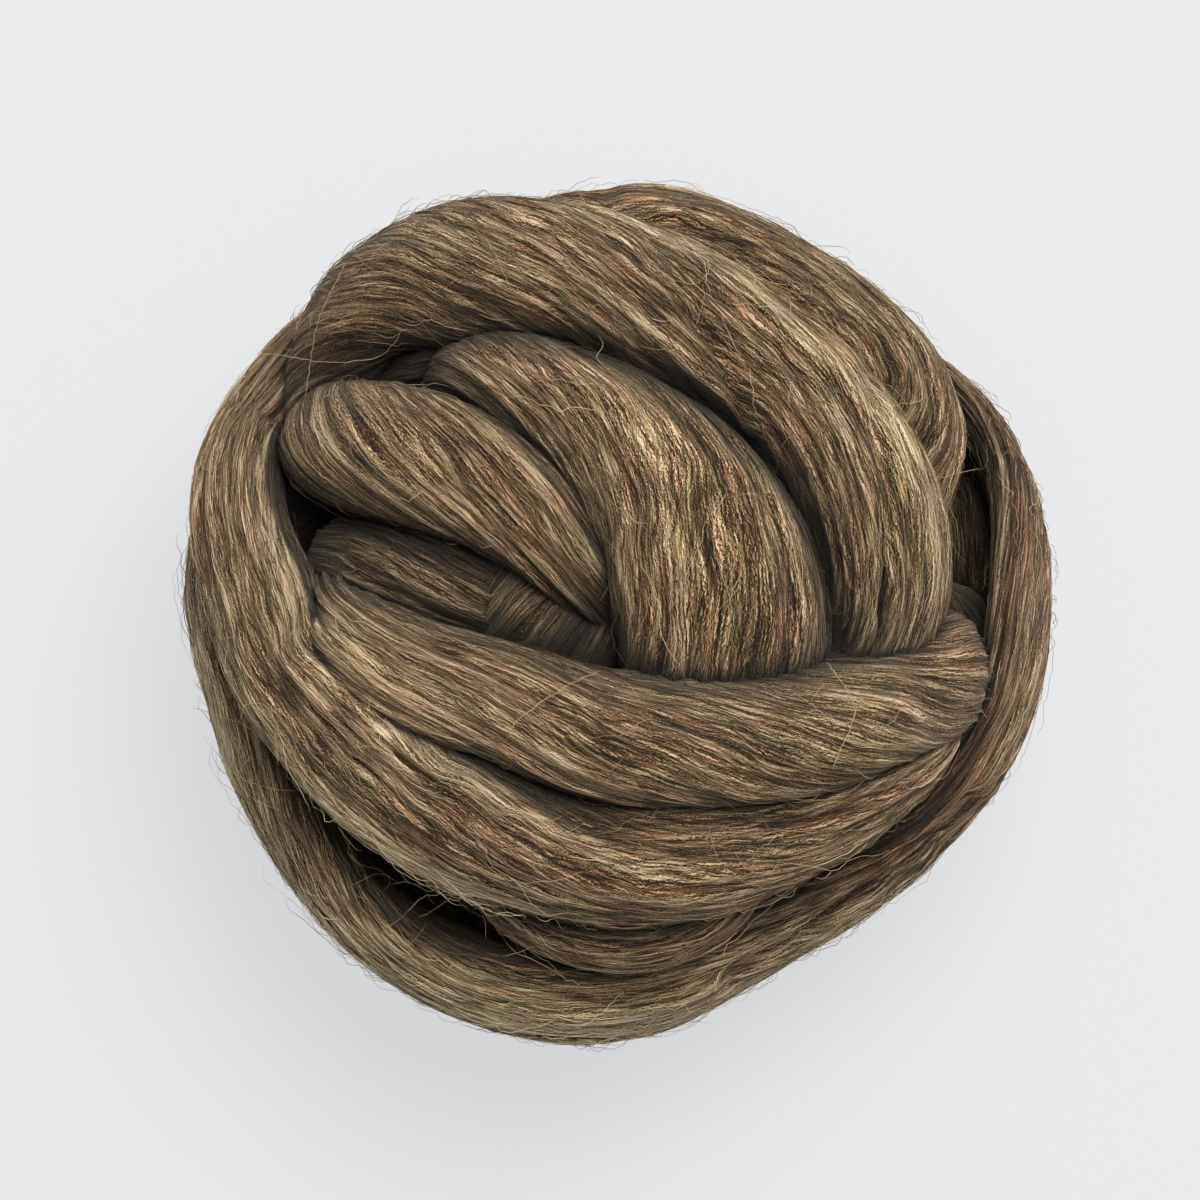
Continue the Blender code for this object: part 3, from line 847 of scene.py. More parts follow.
def new_tree(name, kind, **inputs):
    """A node tree with these inputs: each is a socket type, or a number for its value."""
    tree = bpy.data.node_groups.new(name, kind)
    kinds = {int: "NodeSocketInt", float: "NodeSocketFloat"}
    for label, value in inputs.items():
        is_type = isinstance(value, str)
        socket = tree.interface.new_socket(
            as_label(label), in_out="INPUT", socket_type=value if is_type else kinds[type(value)])
        if not is_type:
            socket.default_value = value
    outputs = tree.nodes.new("NodeGroupInput").outputs
    return tree, SimpleNamespace(
        **{label: Wire(tree, outputs[as_label(label)]) for label in inputs})


def finish_tree(geometry, material):
    """Ends a tree in Realize Instances and Set Material."""
    tree = geometry.tree
    tree.interface.new_socket("Geometry", in_out="OUTPUT", socket_type="NodeSocketGeometry")
    real = result(tree, "GeometryNodeRealizeInstances", {"Geometry": geometry})
    dressed = result(tree, "GeometryNodeSetMaterial", {"Geometry": real, "Material": material})
    tree.links.new(dressed.socket, tree.nodes.new("NodeGroupOutput").inputs[0])
    print("tree:", tree.name, len(tree.nodes), "nodes")
    return tree


def grown(piece, tree, name, **values):
    """What the tree makes of a piece, as a plain mesh. The tree comes off again."""
    modifier = piece.modifiers.new(tree.name, "NODES")
    modifier.node_group = tree
    inputs = [item for item in tree.interface.items_tree if item.in_out == "INPUT"]
    identifiers = {item.name: item.identifier for item in inputs}
    for label, value in values.items():
        modifier[identifiers[as_label(label)]] = value
    bpy.context.view_layer.update()
    graph = bpy.context.evaluated_depsgraph_get()
    mesh = bpy.data.meshes.new_from_object(piece.evaluated_get(graph), depsgraph=graph)
    piece.modifiers.remove(modifier)
    mesh.name = name
    return mesh


# %% Helpers for geometry


def named(tree, name, data_type="FLOAT"):
    """A value that was stored under a name."""
    return result(
        tree, "GeometryNodeInputNamedAttribute", {"Name": name}, data_type=data_type)


def store(geometry, name, value, data_type="FLOAT", domain="POINT"):
    wires = {"Geometry": geometry, "Name": name, "Value": value}
    return result(geometry.tree, "GeometryNodeStoreNamedAttribute", wires,
                  data_type=data_type, domain=domain)


def moved(geometry, **how):
    """Geometry with its points moved by an Offset or to a Position."""
    return result(geometry.tree, "GeometryNodeSetPosition", {"Geometry": geometry, **how})


def joined(collection):
    """Everything in a collection, as one mesh."""
    pieces = result(collection.tree, "GeometryNodeCollectionInfo", {"Collection": collection})
    return result(collection.tree, "GeometryNodeRealizeInstances", {"Geometry": pieces})


def position_and_normal(tree):
    return (result(tree, "GeometryNodeInputPosition"), result(tree, "GeometryNodeInputNormal"))


def off_the_table(point, gap):
    """The point, lifted to just above the table if it lies lower."""
    x, y, z = split(point)
    return combined(point.tree, x, y, maths("MAXIMUM", z, gap))


# %% The tree that raises the locks
FOLD_GAIN = 5.0  # how soon a lock is at its full height beside a groove
FOLD_POWER = 0.6
LOCK_SHARE, STRAND_SHARE = 0.6, 0.4
LOST_SHARE = 0.6  # of the relief, taken off so that the wraps keep their size

tree, given = new_tree(
    "raise_locks", "GeometryNodeTree",
    geometry="NodeSocketGeometry", material="NodeSocketMaterial",
    lock_width=4.6 * MM, lock_relief=1.5 * MM, strand_width=1.5 * MM, strand_relief=0.5 * MM,
    stretch=14.0, table_gap=0.25 * MM,
)
squeeze = 1.0 / given.stretch
drawn_out = named(tree, "combed", "FLOAT_VECTOR") * combined(tree, 1.0, 1.0, squeeze)
looped = named(tree, "looped") * squeeze


def folded_noise(across):
    """Noise on the combed wool, folded at its middle: 0 in a groove, up to 1 on a lock."""
    middle = maths("ABSOLUTE", smooth_noise(drawn_out, across, 1.0, looped=looped) - 0.5)
    return maths("MULTIPLY", middle, FOLD_GAIN, clamp=True) ** FOLD_POWER


lock, strand = folded_noise(given.lock_width), folded_noise(given.strand_width)
# The crest goes on to the colour, which paints shade into the grooves between locks.
crest = maths("MULTIPLY_ADD", lock, LOCK_SHARE, strand * STRAND_SHARE)
lost = (given.lock_relief + given.strand_relief) * LOST_SHARE
rise = (lock * given.lock_relief + strand * given.strand_relief - lost) * named(tree, "relief")
here, normal = position_and_normal(tree)
raised = moved(given.geometry, Offset=normal * rise)
rested = moved(raised, Position=off_the_table(here, given.table_gap))
raise_locks = finish_tree(store(rested, "crest", crest), given.material)

# %% [markdown]
# ## Heathered wool
#
# The brown is a blend: near-black, brown, tan and cream fibres lie side by side, with a
# few rust, olive and grey-green ones. Two node groups make it. This one turns a shade
# and a hue, both from 0 to 1, into the blend's colours. The strand and its single fibres
# share it, so that they belong to the same wool. It also gives whole locks a tone of
# their own, paints shade into the grooves between locks, into creases and deep inside
# the ball, and paints highlights and shade along the painted light lines. In the
# strand's streaks the near-black is partly dark fibres and partly painted shade in the
# gaps between them.

# %% The blend's colours
SHADES = (
    (0.00, (0.0085, 0.0058, 0.0039)),
    (0.25, (0.037, 0.0215, 0.0106)),
    (0.50, (0.153, 0.094, 0.043)),
    (0.75, (0.355, 0.247, 0.132)),
    (1.00, (0.63, 0.50, 0.335)),
)
HUES = (
    (0.00, (0.86, 0.97, 1.16)),
    (0.18, (0.89, 1.05, 0.88)),
    (0.34, (1.00, 1.05, 0.70)),
    (0.50, (1.0, 0.99, 0.95)),
    (0.66, (1.10, 0.93, 0.96)),
    (0.82, (1.26, 0.86, 0.68)),
    (1.00, (1.46, 0.78, 0.50)),
)
print("blend:", len(SHADES), "shades and", len(HUES), "hues")

# %% Helpers for shader groups
STREAK_ROUGHNESS = 0.55


def colour_ramp(share, stops):
    ramp = place(share.tree, "ShaderNodeValToRGB", {"Fac": share})
    elements = ramp.color_ramp.elements
    while len(elements) < len(stops):
        elements.new(1.0)
    for element, (where, colour) in zip(elements, stops):
        element.position = where
        element.color = (*colour, 1)
    return Wire(share.tree, ramp.outputs["Color"])


def group_output(tree, **wires):
    """Ends a shader group. A vector goes out as a colour."""
    for label, wire in wires.items():
        kind = "NodeSocketColor" if wire.is_vector else "NodeSocketFloat"
        tree.interface.new_socket(as_label(label), in_out="OUTPUT", socket_type=kind)
    out = tree.nodes.new("NodeGroupOutput")
    for label, wire in wires.items():
        tree.links.new(wire.socket, out.inputs[as_label(label)])
    print("group:", tree.name, len(tree.nodes), "nodes")
    return tree


def streaks(place_of, looped, width, stretch, detail=2.0, shift=0.0):
    """Noise drawn out along the strand. shift gives each its own place in the noise."""
    squeezed = maths("MULTIPLY_ADD", place_of, (1, 1, 1 / stretch), (shift, 0, 0))
    return smooth_noise(
        squeezed, width, detail, looped=looped * (1 / stretch), roughness=STREAK_ROUGHNESS)


def weighed(noises, weights, middle=0.5):
    """middle plus each noise's distance from a half times its weight, kept from 0 to 1."""
    total = middle
    for name, weight in weights.items():
        total = total + (noises[name] - 0.5) * weight
    return maths("ADD", total, 0.0, clamp=True)


# %% The group that gives the blend's colour
TONE_WEIGHTS = {"lock": 0.52, "crest": 0.50}
TINT_WEIGHTS = {"lock": 0.85}
CREST_LOW = 0.12  # a crest this much over a half leaves the shade as it is
CREASE_POWER = 2.9
CREASE_DARKEST = 0.05
HUE_FADE = 1.35  # the palest fibres take less of their hue

tree, given = new_tree(
    "heather_tone", "ShaderNodeTree",
    shade=0.5, hue=0.5, combed="NodeSocketVector", looped=0.0, crest=0.6, open_share=1.0,
    pale=0.0,
)
lock_tone = streaks(given.combed, given.looped, 2.9 * MM, 44, shift=0.23)
lock_tint = streaks(given.combed, given.looped, 2.0 * MM, 44, shift=0.41)
# Painted shade in the grooves between locks, where the crest is low, and painted light lines.
shade = weighed({"lock": lock_tone, "crest": given.crest - CREST_LOW}, TONE_WEIGHTS,
                given.shade + given.pale)
hue = weighed({"lock": lock_tint}, TINT_WEIGHTS, given.hue - given.pale)
# Painted shade in creases and deep inside the ball, from how open a point lies.
painted_crease_shade = maths("MULTIPLY_ADD", given.open_share ** CREASE_POWER, 1 - CREASE_DARKEST,
               CREASE_DARKEST, clamp=True)
hue_share = maths("MULTIPLY_ADD", shade, -1.0, HUE_FADE, clamp=True)
tinted = result(
    tree, "ShaderNodeMix",
    {0: hue_share, 6: colour_ramp(shade, SHADES), 7: colour_ramp(hue, HUES)}, 2,
    data_type="RGBA", blend_type="MULTIPLY",
)
heather_tone = group_output(tree, colour=tinted * painted_crease_shade)

# %% [markdown]
# ## The streaks of the combed fibres
#
# Seen close the strand is a mass of fine streaks: combed fibres that lie nearly side by
# side, and cross now and then. Three thin layers of them are laid over each other. Each
# drifts a little to the side over a few millimetres, and has a fine crimp, as wool has.
# Both only slide the pattern sideways round the strand. That keeps every streak
# unbroken, however steeply the fibres turn. A slide of the same size bends a fibre less
# where it runs aslant, so there the crimp is made larger. The same streaks give the bump
# its height.

# %% The group that draws the streaks
# The dark streaks are partly dark fibres and partly painted shade in the gaps between fibres.
LINE_SHARPNESS = 5.5
SHADE_WEIGHTS = {"under": 2.2, "thick": 0.24, "middle lines": 0.52, "upper lines": 0.56}
SHADE_MIDDLE = 0.475
HUE_WEIGHTS = {"hues": 1.8, "upper": 1.0}
HEIGHT_WEIGHTS = {"under": 0.9, "thick": 0.6, "middle lines": 0.4, "upper lines": 0.5}

tree, given = new_tree(
    "combed_streaks", "ShaderNodeTree",
    combed="NodeSocketVector", looped=0.0, slant=1.0,
    crimp=0.62 * MM, crimp_wave=0.6 * MM, drift=2.4 * MM, drift_wave=4.5 * MM,
)


def three_noises(across, squash, detail):
    """Three noises that don't follow one another, round the strand and along it."""
    return split(smooth_noise(
        given.combed * (1, 1, squash), across, detail, "Color", looped=given.looped * squash))


def fibre_lines(noise):
    """1 on the thin lines where a noise crosses a half, 0 away from them."""
    off = maths("ABSOLUTE", noise - 0.5)
    return maths("MULTIPLY_ADD", off, -LINE_SHARPNESS, 1.0, clamp=True)


x, y, _ = split(given.combed)
wrap_middle = maths("SNAP", x + WRAP_APART / 2, WRAP_APART)
from_middle = combined(tree, x - wrap_middle, y)
sideways = maths("CROSS_PRODUCT", (0, 0, 1 / COMB_RADIUS), from_middle)
waves = three_noises(given.crimp_wave, 1.5, 1.0)
drifts = three_noises(given.drift_wave, 0.7, 0.0)
layers = []
for wave, drift in zip(waves, drifts):
    sway = (wave - 0.5) * given.crimp * given.slant + (drift - 0.5) * given.drift
    layers.append(given.combed + sideways * sway)
noises = {
    "under": streaks(layers[0], given.looped, 0.17 * MM, 40, detail=1.0),
    "middle": streaks(layers[1], given.looped, 0.23 * MM, 50, detail=0.0, shift=0.11),
    "upper": streaks(layers[2], given.looped, 0.20 * MM, 46, detail=0.0, shift=0.29),
    "thick": streaks(layers[0], given.looped, 1.0 * MM, 44, detail=1.0, shift=0.53),
    "hues": streaks(layers[1], given.looped, 0.30 * MM, 44, detail=1.0, shift=0.37),
}
noises["middle lines"] = fibre_lines(noises["middle"])
noises["upper lines"] = fibre_lines(noises["upper"])
combed_streaks = group_output(
    tree,
    shade=weighed(noises, SHADE_WEIGHTS, SHADE_MIDDLE),
    hue=weighed(noises, HUE_WEIGHTS),
    height=weighed(noises, HEIGHT_WEIGHTS),
)

# %% The two materials
STRAND_ROUGHNESS = 0.78
FIBRE_ROUGHNESS = 0.6
WOOL_SHINE = 0.15
SHEEN = 0.12
SHEEN_ROUGHNESS = 0.5
SHEEN_TINT = (0.95, 0.86, 0.72, 1)
BUMP_DEPTH = 0.22 * MM


def attribute(tree, name, output="Fac"):
    return result(tree, "ShaderNodeAttribute", None, output, attribute_name=name)


def wool_material(name, roughness):
    material = bpy.data.materials.new(name)
    material.use_nodes = True
    shader = material.node_tree.nodes["Principled BSDF"]
    shader.inputs["Roughness"].default_value = roughness
    shader.inputs["Specular IOR Level"].default_value = WOOL_SHINE
    shader.inputs["Sheen Weight"].default_value = SHEEN
    shader.inputs["Sheen Roughness"].default_value = SHEEN_ROUGHNESS
    shader.inputs["Sheen Tint"].default_value = SHEEN_TINT
    return material, material.node_tree, shader


def toned(tree, shade, hue):
    """The blend's colour for a shade and a hue, where a point lies in the wool."""
    wires = {"Shade": shade, "Hue": hue, "Combed": attribute(tree, "combed", "Vector")}
    for name in ("looped", "crest", "open_share", "pale"):
        wires[as_label(name)] = attribute(tree, name)
    return result(tree, "ShaderNodeGroup", wires, "Colour", node_tree=heather_tone)


strand_wool, tree, shader = wool_material("heathered_strand", STRAND_ROUGHNESS)
shade, hue, height = results(
    tree, "ShaderNodeGroup",
    {"Combed": attribute(tree, "combed", "Vector"), "Looped": attribute(tree, "looped"),
     "Slant": attribute(tree, "slant")},
    ("Shade", "Hue", "Height"), node_tree=combed_streaks,
)
tree.links.new(toned(tree, shade, hue).socket, shader.inputs["Base Color"])
bump = result(tree, "ShaderNodeBump", {"Height": height, "Distance": BUMP_DEPTH})
tree.links.new(bump.socket, shader.inputs["Normal"])

fibre_wool, tree, shader = wool_material("heathered_fibre", FIBRE_ROUGHNESS)
colour = toned(tree, attribute(tree, "shade"), attribute(tree, "hue"))
tree.links.new(colour.socket, shader.inputs["Base Color"])
print("materials:", strand_wool.name, fibre_wool.name)

# %% Raise the locks of every wrap


def settle(piece, mesh):
    """Gives a piece the mesh that a tree made of it."""
    old = piece.data
    piece.data = mesh
    bpy.data.meshes.remove(old)


def triangles(piece):
    return sum(len(face.vertices) - 2 for face in piece.data.polygons)


wraps = bpy.data.collections.new("wraps")
scene.collection.children.link(wraps)
for wrap in bare_wraps:
    settle(wrap, grown(wrap, raise_locks, wrap.name, material=strand_wool))
    scene.collection.objects.unlink(wrap)
    wraps.objects.link(wrap)
print("triangles in the wraps:", sum(map(triangles, bare_wraps)))

# %% [markdown]
# ## What lies open, and what is tucked away
#
# Deep between two wraps the wool lies in deep shade and looks nearly black, and under
# them it can't be seen at all. Rays sent out from each point of a wrap tell how open it
# lies: the share of its surroundings that nothing stands in within a few centimetres. It
# counts for less well inside the ball, where less light comes down. The colour uses it to
# paint shade into the creases and deep inside the ball, and the fibres use it to grow only
# where they can be seen.

# %% The tree that measures how open each point lies
RAYS = 10
RAY_LEAN = 0.92  # below 1, so that no ray dips under the surface it starts from
OPEN_ENOUGH = 0.35

tree, given = new_tree(
    "measure_open", "GeometryNodeTree",
    geometry="NodeSocketGeometry", material="NodeSocketMaterial",
    neighbours="NodeSocketCollection", reach=30 * MM, start=0.7 * MM,
    darkest=0.47, lit_from=0.80,
)
target = joined(given.neighbours)
here, normal = position_and_normal(tree)
origin = here + normal * given.start
total = 0.0
for k in range(RAYS):
    rise = 1 - 2 * (k + 0.5) / RAYS
    swing = k * math.pi * (3 - math.sqrt(5))  # the golden angle spreads them evenly
    flat = RAY_LEAN * math.sqrt(1 - rise * rise)
    lean = (flat * math.cos(swing), flat * math.sin(swing), RAY_LEAN * rise)
    way = maths("NORMALIZE", normal + lean)
    hit, facing, distance = results(
        tree, "GeometryNodeRaycast",
        {"Target Geometry": target, "Source Position": origin, "Ray Direction": way,
         "Ray Length": given.reach},
        ("Is Hit", "Hit Normal", "Hit Distance"),
    )
    # A ray that meets a wrap from its inside began under that wrap.
    outside = maths("LESS_THAN", maths("DOT_PRODUCT", facing, way), 0.0)
    clear = distance / given.reach * outside
    total = total + result(
        tree, "GeometryNodeSwitch", {0: hit, 1: 1.0, 2: clear}, input_type="FLOAT")
# How far out the point is, from 0 at the ball's middle to 1 on its outline.
outwards = maths("LENGTH", (here - tuple(BALL_CENTRE)) * (
    1 / BALL_RADIUS, 1 / BALL_RADIUS, 1 / BALL_HALF_HEIGHT))
# Deeper inside the ball less counts, so the colour paints shade there.
lit = maths("DIVIDE", outwards - given.darkest, given.lit_from - given.darkest, clamp=True)
share = total / float(RAYS) * lit
measure_open = finish_tree(store(given.geometry, "open_share", share), given.material)

# %% Measure every wrap against all of them
for wrap in bare_wraps:
    twin = bpy.data.objects.new(wrap.name + "_open", wrap.data.copy())
    scene.collection.objects.link(twin)
    mesh = grown(twin, measure_open, wrap.name, material=strand_wool, neighbours=wraps)
    bpy.data.objects.remove(twin)
    wrap["measured"] = mesh.name
for wrap in bare_wraps:
    settle(wrap, bpy.data.meshes[wrap["measured"]])
    del wrap["measured"]
shares = np.concatenate([
    [value.value for value in wrap.data.attributes["open_share"].data] for wrap in bare_wraps
])
print("share of the wool that lies open:", round(float((shares > OPEN_ENOUGH).mean()), 2))

# %% [markdown]
# ## Single fibres
#
# What makes wool look soft is that its surface isn't a surface: it is fibres lying on
# fibres. Thousands of them are laid on the wraps. Each starts as a point on the wool,
# becomes a short line, and is bent to follow the combed direction by looking up, for
# every point along it, where that place of the "lay" map is on the wrap. It sways a
# little, its ends dip into the wool, and it is swept into a thin three-sided thread.
# The same tree also makes the fuzz and the stray hairs: they wave more, and rise off
# the ball.

# %% The roots of the fibres, and their own numbers
CRIMP_SQUASH = 1.5  # the crimp changes this much faster along the wool than round it
WANDER_APART = 7.31  # from one stray hair's wandering to the next one's
WANDER_POWER = 0.8
STAND_OFF = 0.35
DIP_POWER = 3.0
THIN_POWER, THIN_BY = 2.5, 0.75

tree, given = new_tree(
    "lay_fibres", "GeometryNodeTree",
    geometry="NodeSocketGeometry", material="NodeSocketMaterial",
    wool="NodeSocketCollection", density=90000.0, seed=1, lowest=0.0, highest=0.2,
    near="NodeSocketVector", within=1.0,
    least_open=0.3, points=11, shortest=14 * MM, longest=26 * MM,
    radius=0.07 * MM, crimp=1.1 * MM, crimp_wave=1.5 * MM, drift=3.2 * MM,
    lift=0.10 * MM, bow=0.35 * MM, dip=0.25 * MM,
    stray=0.0, stray_wave=9 * MM, paleness=0.0, table_gap=0.25 * MM,
)
wool = joined(given.wool)
here, normal = position_and_normal(tree)
height = split(here)[2]
chosen = maths("GREATER_THAN", named(tree, "open_share"), given.least_open)
chosen = chosen * maths("GREATER_THAN", height, given.lowest)
chosen = chosen * maths("LESS_THAN", height, given.highest)
chosen = chosen * maths("LESS_THAN", maths("LENGTH", here - given.near), given.within)
roots = result(tree, "GeometryNodeDistributePointsOnFaces", {
    "Mesh": wool, "Selection": maths("GREATER_THAN", chosen, 0.99),
    "Density": given.density, "Seed": given.seed})
straight = result(tree, "GeometryNodeCurvePrimitiveLine")
straight = result(
    tree, "GeometryNodeResampleCurve", {"Curve": straight, "Count": given.points})
laid = result(tree, "GeometryNodeInstanceOnPoints", {"Points": roots, "Instance": straight})
index = result(tree, "GeometryNodeInputIndex")
laid = store(laid, "fibre", index, "INT", "INSTANCE")
laid = result(tree, "GeometryNodeRealizeInstances", {"Geometry": laid})
laid = store(laid, "share", result(tree, "GeometryNodeSplineParameter", None, "Factor"))
fibre, share = named(tree, "fibre", "INT"), named(tree, "share")


def drawn(low, high, number):
    """A random number for each fibre, the same at all its points. number sets it apart."""
    wires = {2: low, 3: high, 7: fibre, 8: given.seed + float(number)}
    return result(tree, "FunctionNodeRandomValue", wires, 1, data_type="FLOAT")


length = drawn(given.shortest, given.longest, 11)
phase = drawn(0.0, 2 * math.pi, 12)
sway_size = drawn(0.6, 1.4, 13)
drift = drawn(-1.0, 1.0, 14) * given.drift
rise_by = drawn(0.0, 1.0, 15)

# %% Where each point of a fibre is on the lay map
lay_map = named(tree, "lay", "FLOAT_VECTOR")
root_along, root_across, _ = split(lay_map)
from_middle = share - 0.5
along = maths("MULTIPLY_ADD", from_middle, length, root_along)
across = maths("MULTIPLY_ADD", from_middle, drift, root_across)
row = maths("FLOOR", root_across / LAY_STEP)
row_start = row * LAY_STEP
turn = (across - row_start) * (2 * math.pi / LAY_ROUND)
in_wool = combined(
    tree, maths("MULTIPLY_ADD", maths("COSINE", turn), COMB_RADIUS, row),
    maths("SINE", turn) * COMB_RADIUS, along * CRIMP_SQUASH)
sway = (smooth_noise(in_wool, given.crimp_wave, 1.0) - 0.5) * given.crimp * sway_size
across = row_start + maths("FLOORED_MODULO", across + sway - row_start, LAY_ROUND)
place_of = combined(tree, along, across)


def looked_up(value, data_type="FLOAT"):
    """What the wool has at that place of the lay map, and whether the map is there."""
    wires = {"Mesh": wool, "Value": value, "UV Map": lay_map, "Sample UV": place_of}
    return results(tree, "GeometryNodeSampleUVSurface", wires, ("Value", "Is Valid"),
                   data_type=data_type)


# %% Bend each fibre over the wool
spot, on_map = looked_up(here, "FLOAT_VECTOR")
way_out = maths("NORMALIZE", looked_up(normal, "FLOAT_VECTOR")[0])
hump = maths("SINE", share * math.pi)
edge = 1.0 - hump
raise_by = given.lift + hump * rise_by * given.bow - edge ** DIP_POWER * given.dip

# A stray hair keeps its root in the wool, and wanders more the further it gets from it.
wander_at = combined(tree, share * length / given.stray_wave, fibre * WANDER_APART, phase)
wander = smooth_noise(wander_at, 1.0, 2.0, "Color") - (0.5, 0.5, 0.5)
free = share ** WANDER_POWER
wander = wander * (free * given.stray)
raise_by = raise_by + free * rise_by * (given.stray * STAND_OFF)
bent = off_the_table(spot + way_out * raise_by + wander, given.table_gap)

# %% Colour the fibres, and sweep them into threads
# The fibres take the painted crease shade, groove shade and painted light lines of the wool.
laid = store(laid, "open_share", looked_up(named(tree, "open_share"))[0])
combed_here = looked_up(named(tree, "combed", "FLOAT_VECTOR"), "FLOAT_VECTOR")[0]
laid = store(laid, "combed", combed_here, "FLOAT_VECTOR")
for name in ("looped", "crest", "pale"):
    laid = store(laid, name, looked_up(named(tree, name))[0])
laid = store(laid, "shade", drawn(0.05, 0.5, 21) + drawn(0.05, 0.5, 22) + given.paleness)
laid = store(laid, "hue", drawn(0.0, 0.5, 23) + drawn(0.0, 0.5, 24))
laid = moved(laid, Position=bent)
off_map = result(tree, "FunctionNodeBooleanMath", {0: on_map}, operation="NOT")
laid = result(
    tree, "GeometryNodeDeleteGeometry", {"Geometry": laid, "Selection": off_map},
    domain="POINT")
section = result(tree, "GeometryNodeCurvePrimitiveCircle", {"Resolution": 3, "Radius": 1.0})
section = store(section, "side", index)
thin_end = maths("MULTIPLY_ADD", edge ** THIN_POWER, -THIN_BY, 1.0)
swept = result(tree, "GeometryNodeCurveToMesh", {
    "Curve": laid, "Profile Curve": section, "Fill Caps": True,
    "Scale": thin_end * given.radius * drawn(0.7, 1.25, 31)})
lay_fibres = finish_tree(swept, given.material)

# %% [markdown]
# ## A bake sheet for threads
#
# A thread is too thin to unwrap in any common way. Each one gets a cell of its own on
# the sheet, in rows, with the length of the thread across the cell and its three sides
# one above the other.

# %% The bake sheet
CELLS_HIGH = 8  # a cell is this many times as wide as it is high, about
CELL_X = (0.06, 0.88)  # where a thread starts in its cell, and how much of it it fills
CELL_Y = (0.08, 0.84)
CAP_WIDTH = 0.04


def thread_sheet(mesh):
    """Adds an "OFBake" map in which each thread is a small strip of its own."""
    corners = len(mesh.loops)
    vertex = np.empty(corners, np.int32)
    mesh.loops.foreach_get("vertex_index", vertex)
    starts = np.empty(len(mesh.polygons), np.int32)
    mesh.polygons.foreach_get("loop_start", starts)
    values = {}
    for name in ("fibre", "share", "side"):
        data = mesh.attributes[name].data
        values[name] = np.empty(len(data), np.int32 if name == "fibre" else np.float32)
        data.foreach_get("value", values[name])
    corner_counts = np.diff(np.append(starts, corners))
    face = np.repeat(np.arange(len(starts)), corner_counts)
    ids, cell = np.unique(values["fibre"][vertex], return_inverse=True)
    side, share = values["side"][vertex].copy(), values["share"][vertex].copy()
    spread = np.maximum.reduceat(side, starts) - np.minimum.reduceat(side, starts)
    # The last side of a thread runs from its third line back to its first one.
    quad = corner_counts[face] == 4
    side[quad & (spread[face] > 1.5) & (side < 0.5)] = 3
    share[~quad] += np.where(side[~quad] == 1, -CAP_WIDTH, 0.0)
    cells_a_row = max(1, round(math.sqrt(len(ids) / CELLS_HIGH)))
    rows = math.ceil(len(ids) / cells_a_row)
    x = (cell % cells_a_row + CELL_X[0] + CELL_X[1] * np.clip(share, 0, 1)) / cells_a_row
    y = (cell // cells_a_row + CELL_Y[0] + CELL_Y[1] * side / 3) / rows
    sheet = np.stack([x, y], axis=1).astype(np.float32)
    mesh.uv_layers.new(name="OFBake").uv.foreach_set("vector", sheet.ravel())
    return len(ids)


# %% Lay the fibres
COMBED = dict(points=13, shortest=7 * MM, longest=13 * MM)
FUZZ = dict(
    points=7, shortest=2.5 * MM, longest=6 * MM, radius=0.05 * MM, crimp=1.2 * MM,
    drift=5 * MM, lift=0.0, bow=0.8 * MM, stray=4.5 * MM, stray_wave=2.2 * MM, paleness=0.1,
)
STRAYS = dict(
    points=18, shortest=8 * MM, longest=20 * MM, radius=0.055 * MM, crimp=1.2 * MM,
    drift=12 * MM, lift=0.0, stray=8 * MM, stray_wave=5 * MM, paleness=0.22,
)
FIBRES = {
    "fibres_crown": dict(COMBED, density=84000.0, seed=3, lowest=92 * MM, highest=0.2),
    "fibres_top": dict(COMBED, density=84000.0, seed=4, lowest=76 * MM, highest=92 * MM),
    "fibres_shoulder": dict(COMBED, density=44000.0, seed=5, lowest=48 * MM, highest=76 * MM),
    "fibres_below": dict(COMBED, density=13000.0, seed=7, lowest=1.5 * MM, highest=48 * MM),
    "fuzz": dict(
        FUZZ, density=22000.0, seed=8, lowest=3 * MM, highest=0.2, least_open=0.45),
    "fuzz_north_west": dict(
        FUZZ, density=90000.0, seed=12, lowest=60 * MM, highest=0.2, least_open=0.45,
        near=(-46 * MM, 68 * MM, 80 * MM), within=26 * MM),
    "tangle_south": dict(
        STRAYS, density=60000.0, seed=15, lowest=60 * MM, highest=0.2, least_open=0.3,
        near=(-30 * MM, -52 * MM, 88 * MM), within=17 * MM),
    "stray_hairs": dict(
        STRAYS, density=6000.0, seed=9, lowest=3 * MM, highest=0.2, least_open=0.45),
}


def lay(name, values):
    stem = bpy.data.objects.new(name, bpy.data.meshes.new(name))
    scene.collection.objects.link(stem)
    mesh = grown(stem, lay_fibres, name, material=fibre_wool, wool=wraps, **values)
    count = thread_sheet(mesh)
    settle(stem, mesh)
    print(name + ":", count, "threads,", triangles(stem), "triangles")
    return stem


threads = [lay(name, values) for name, values in FIBRES.items()]

# %% [markdown]
# ## Single hairs
#
# A few pale hairs lie across the combed wool, curl over a crease or stand off the edge.
# Each is drawn as a line seen from above, dropped on the wool, given a little crimp and
# swept into a thread like the others. It hangs between two high places and doesn't
# follow the wool all the way down into a crease.

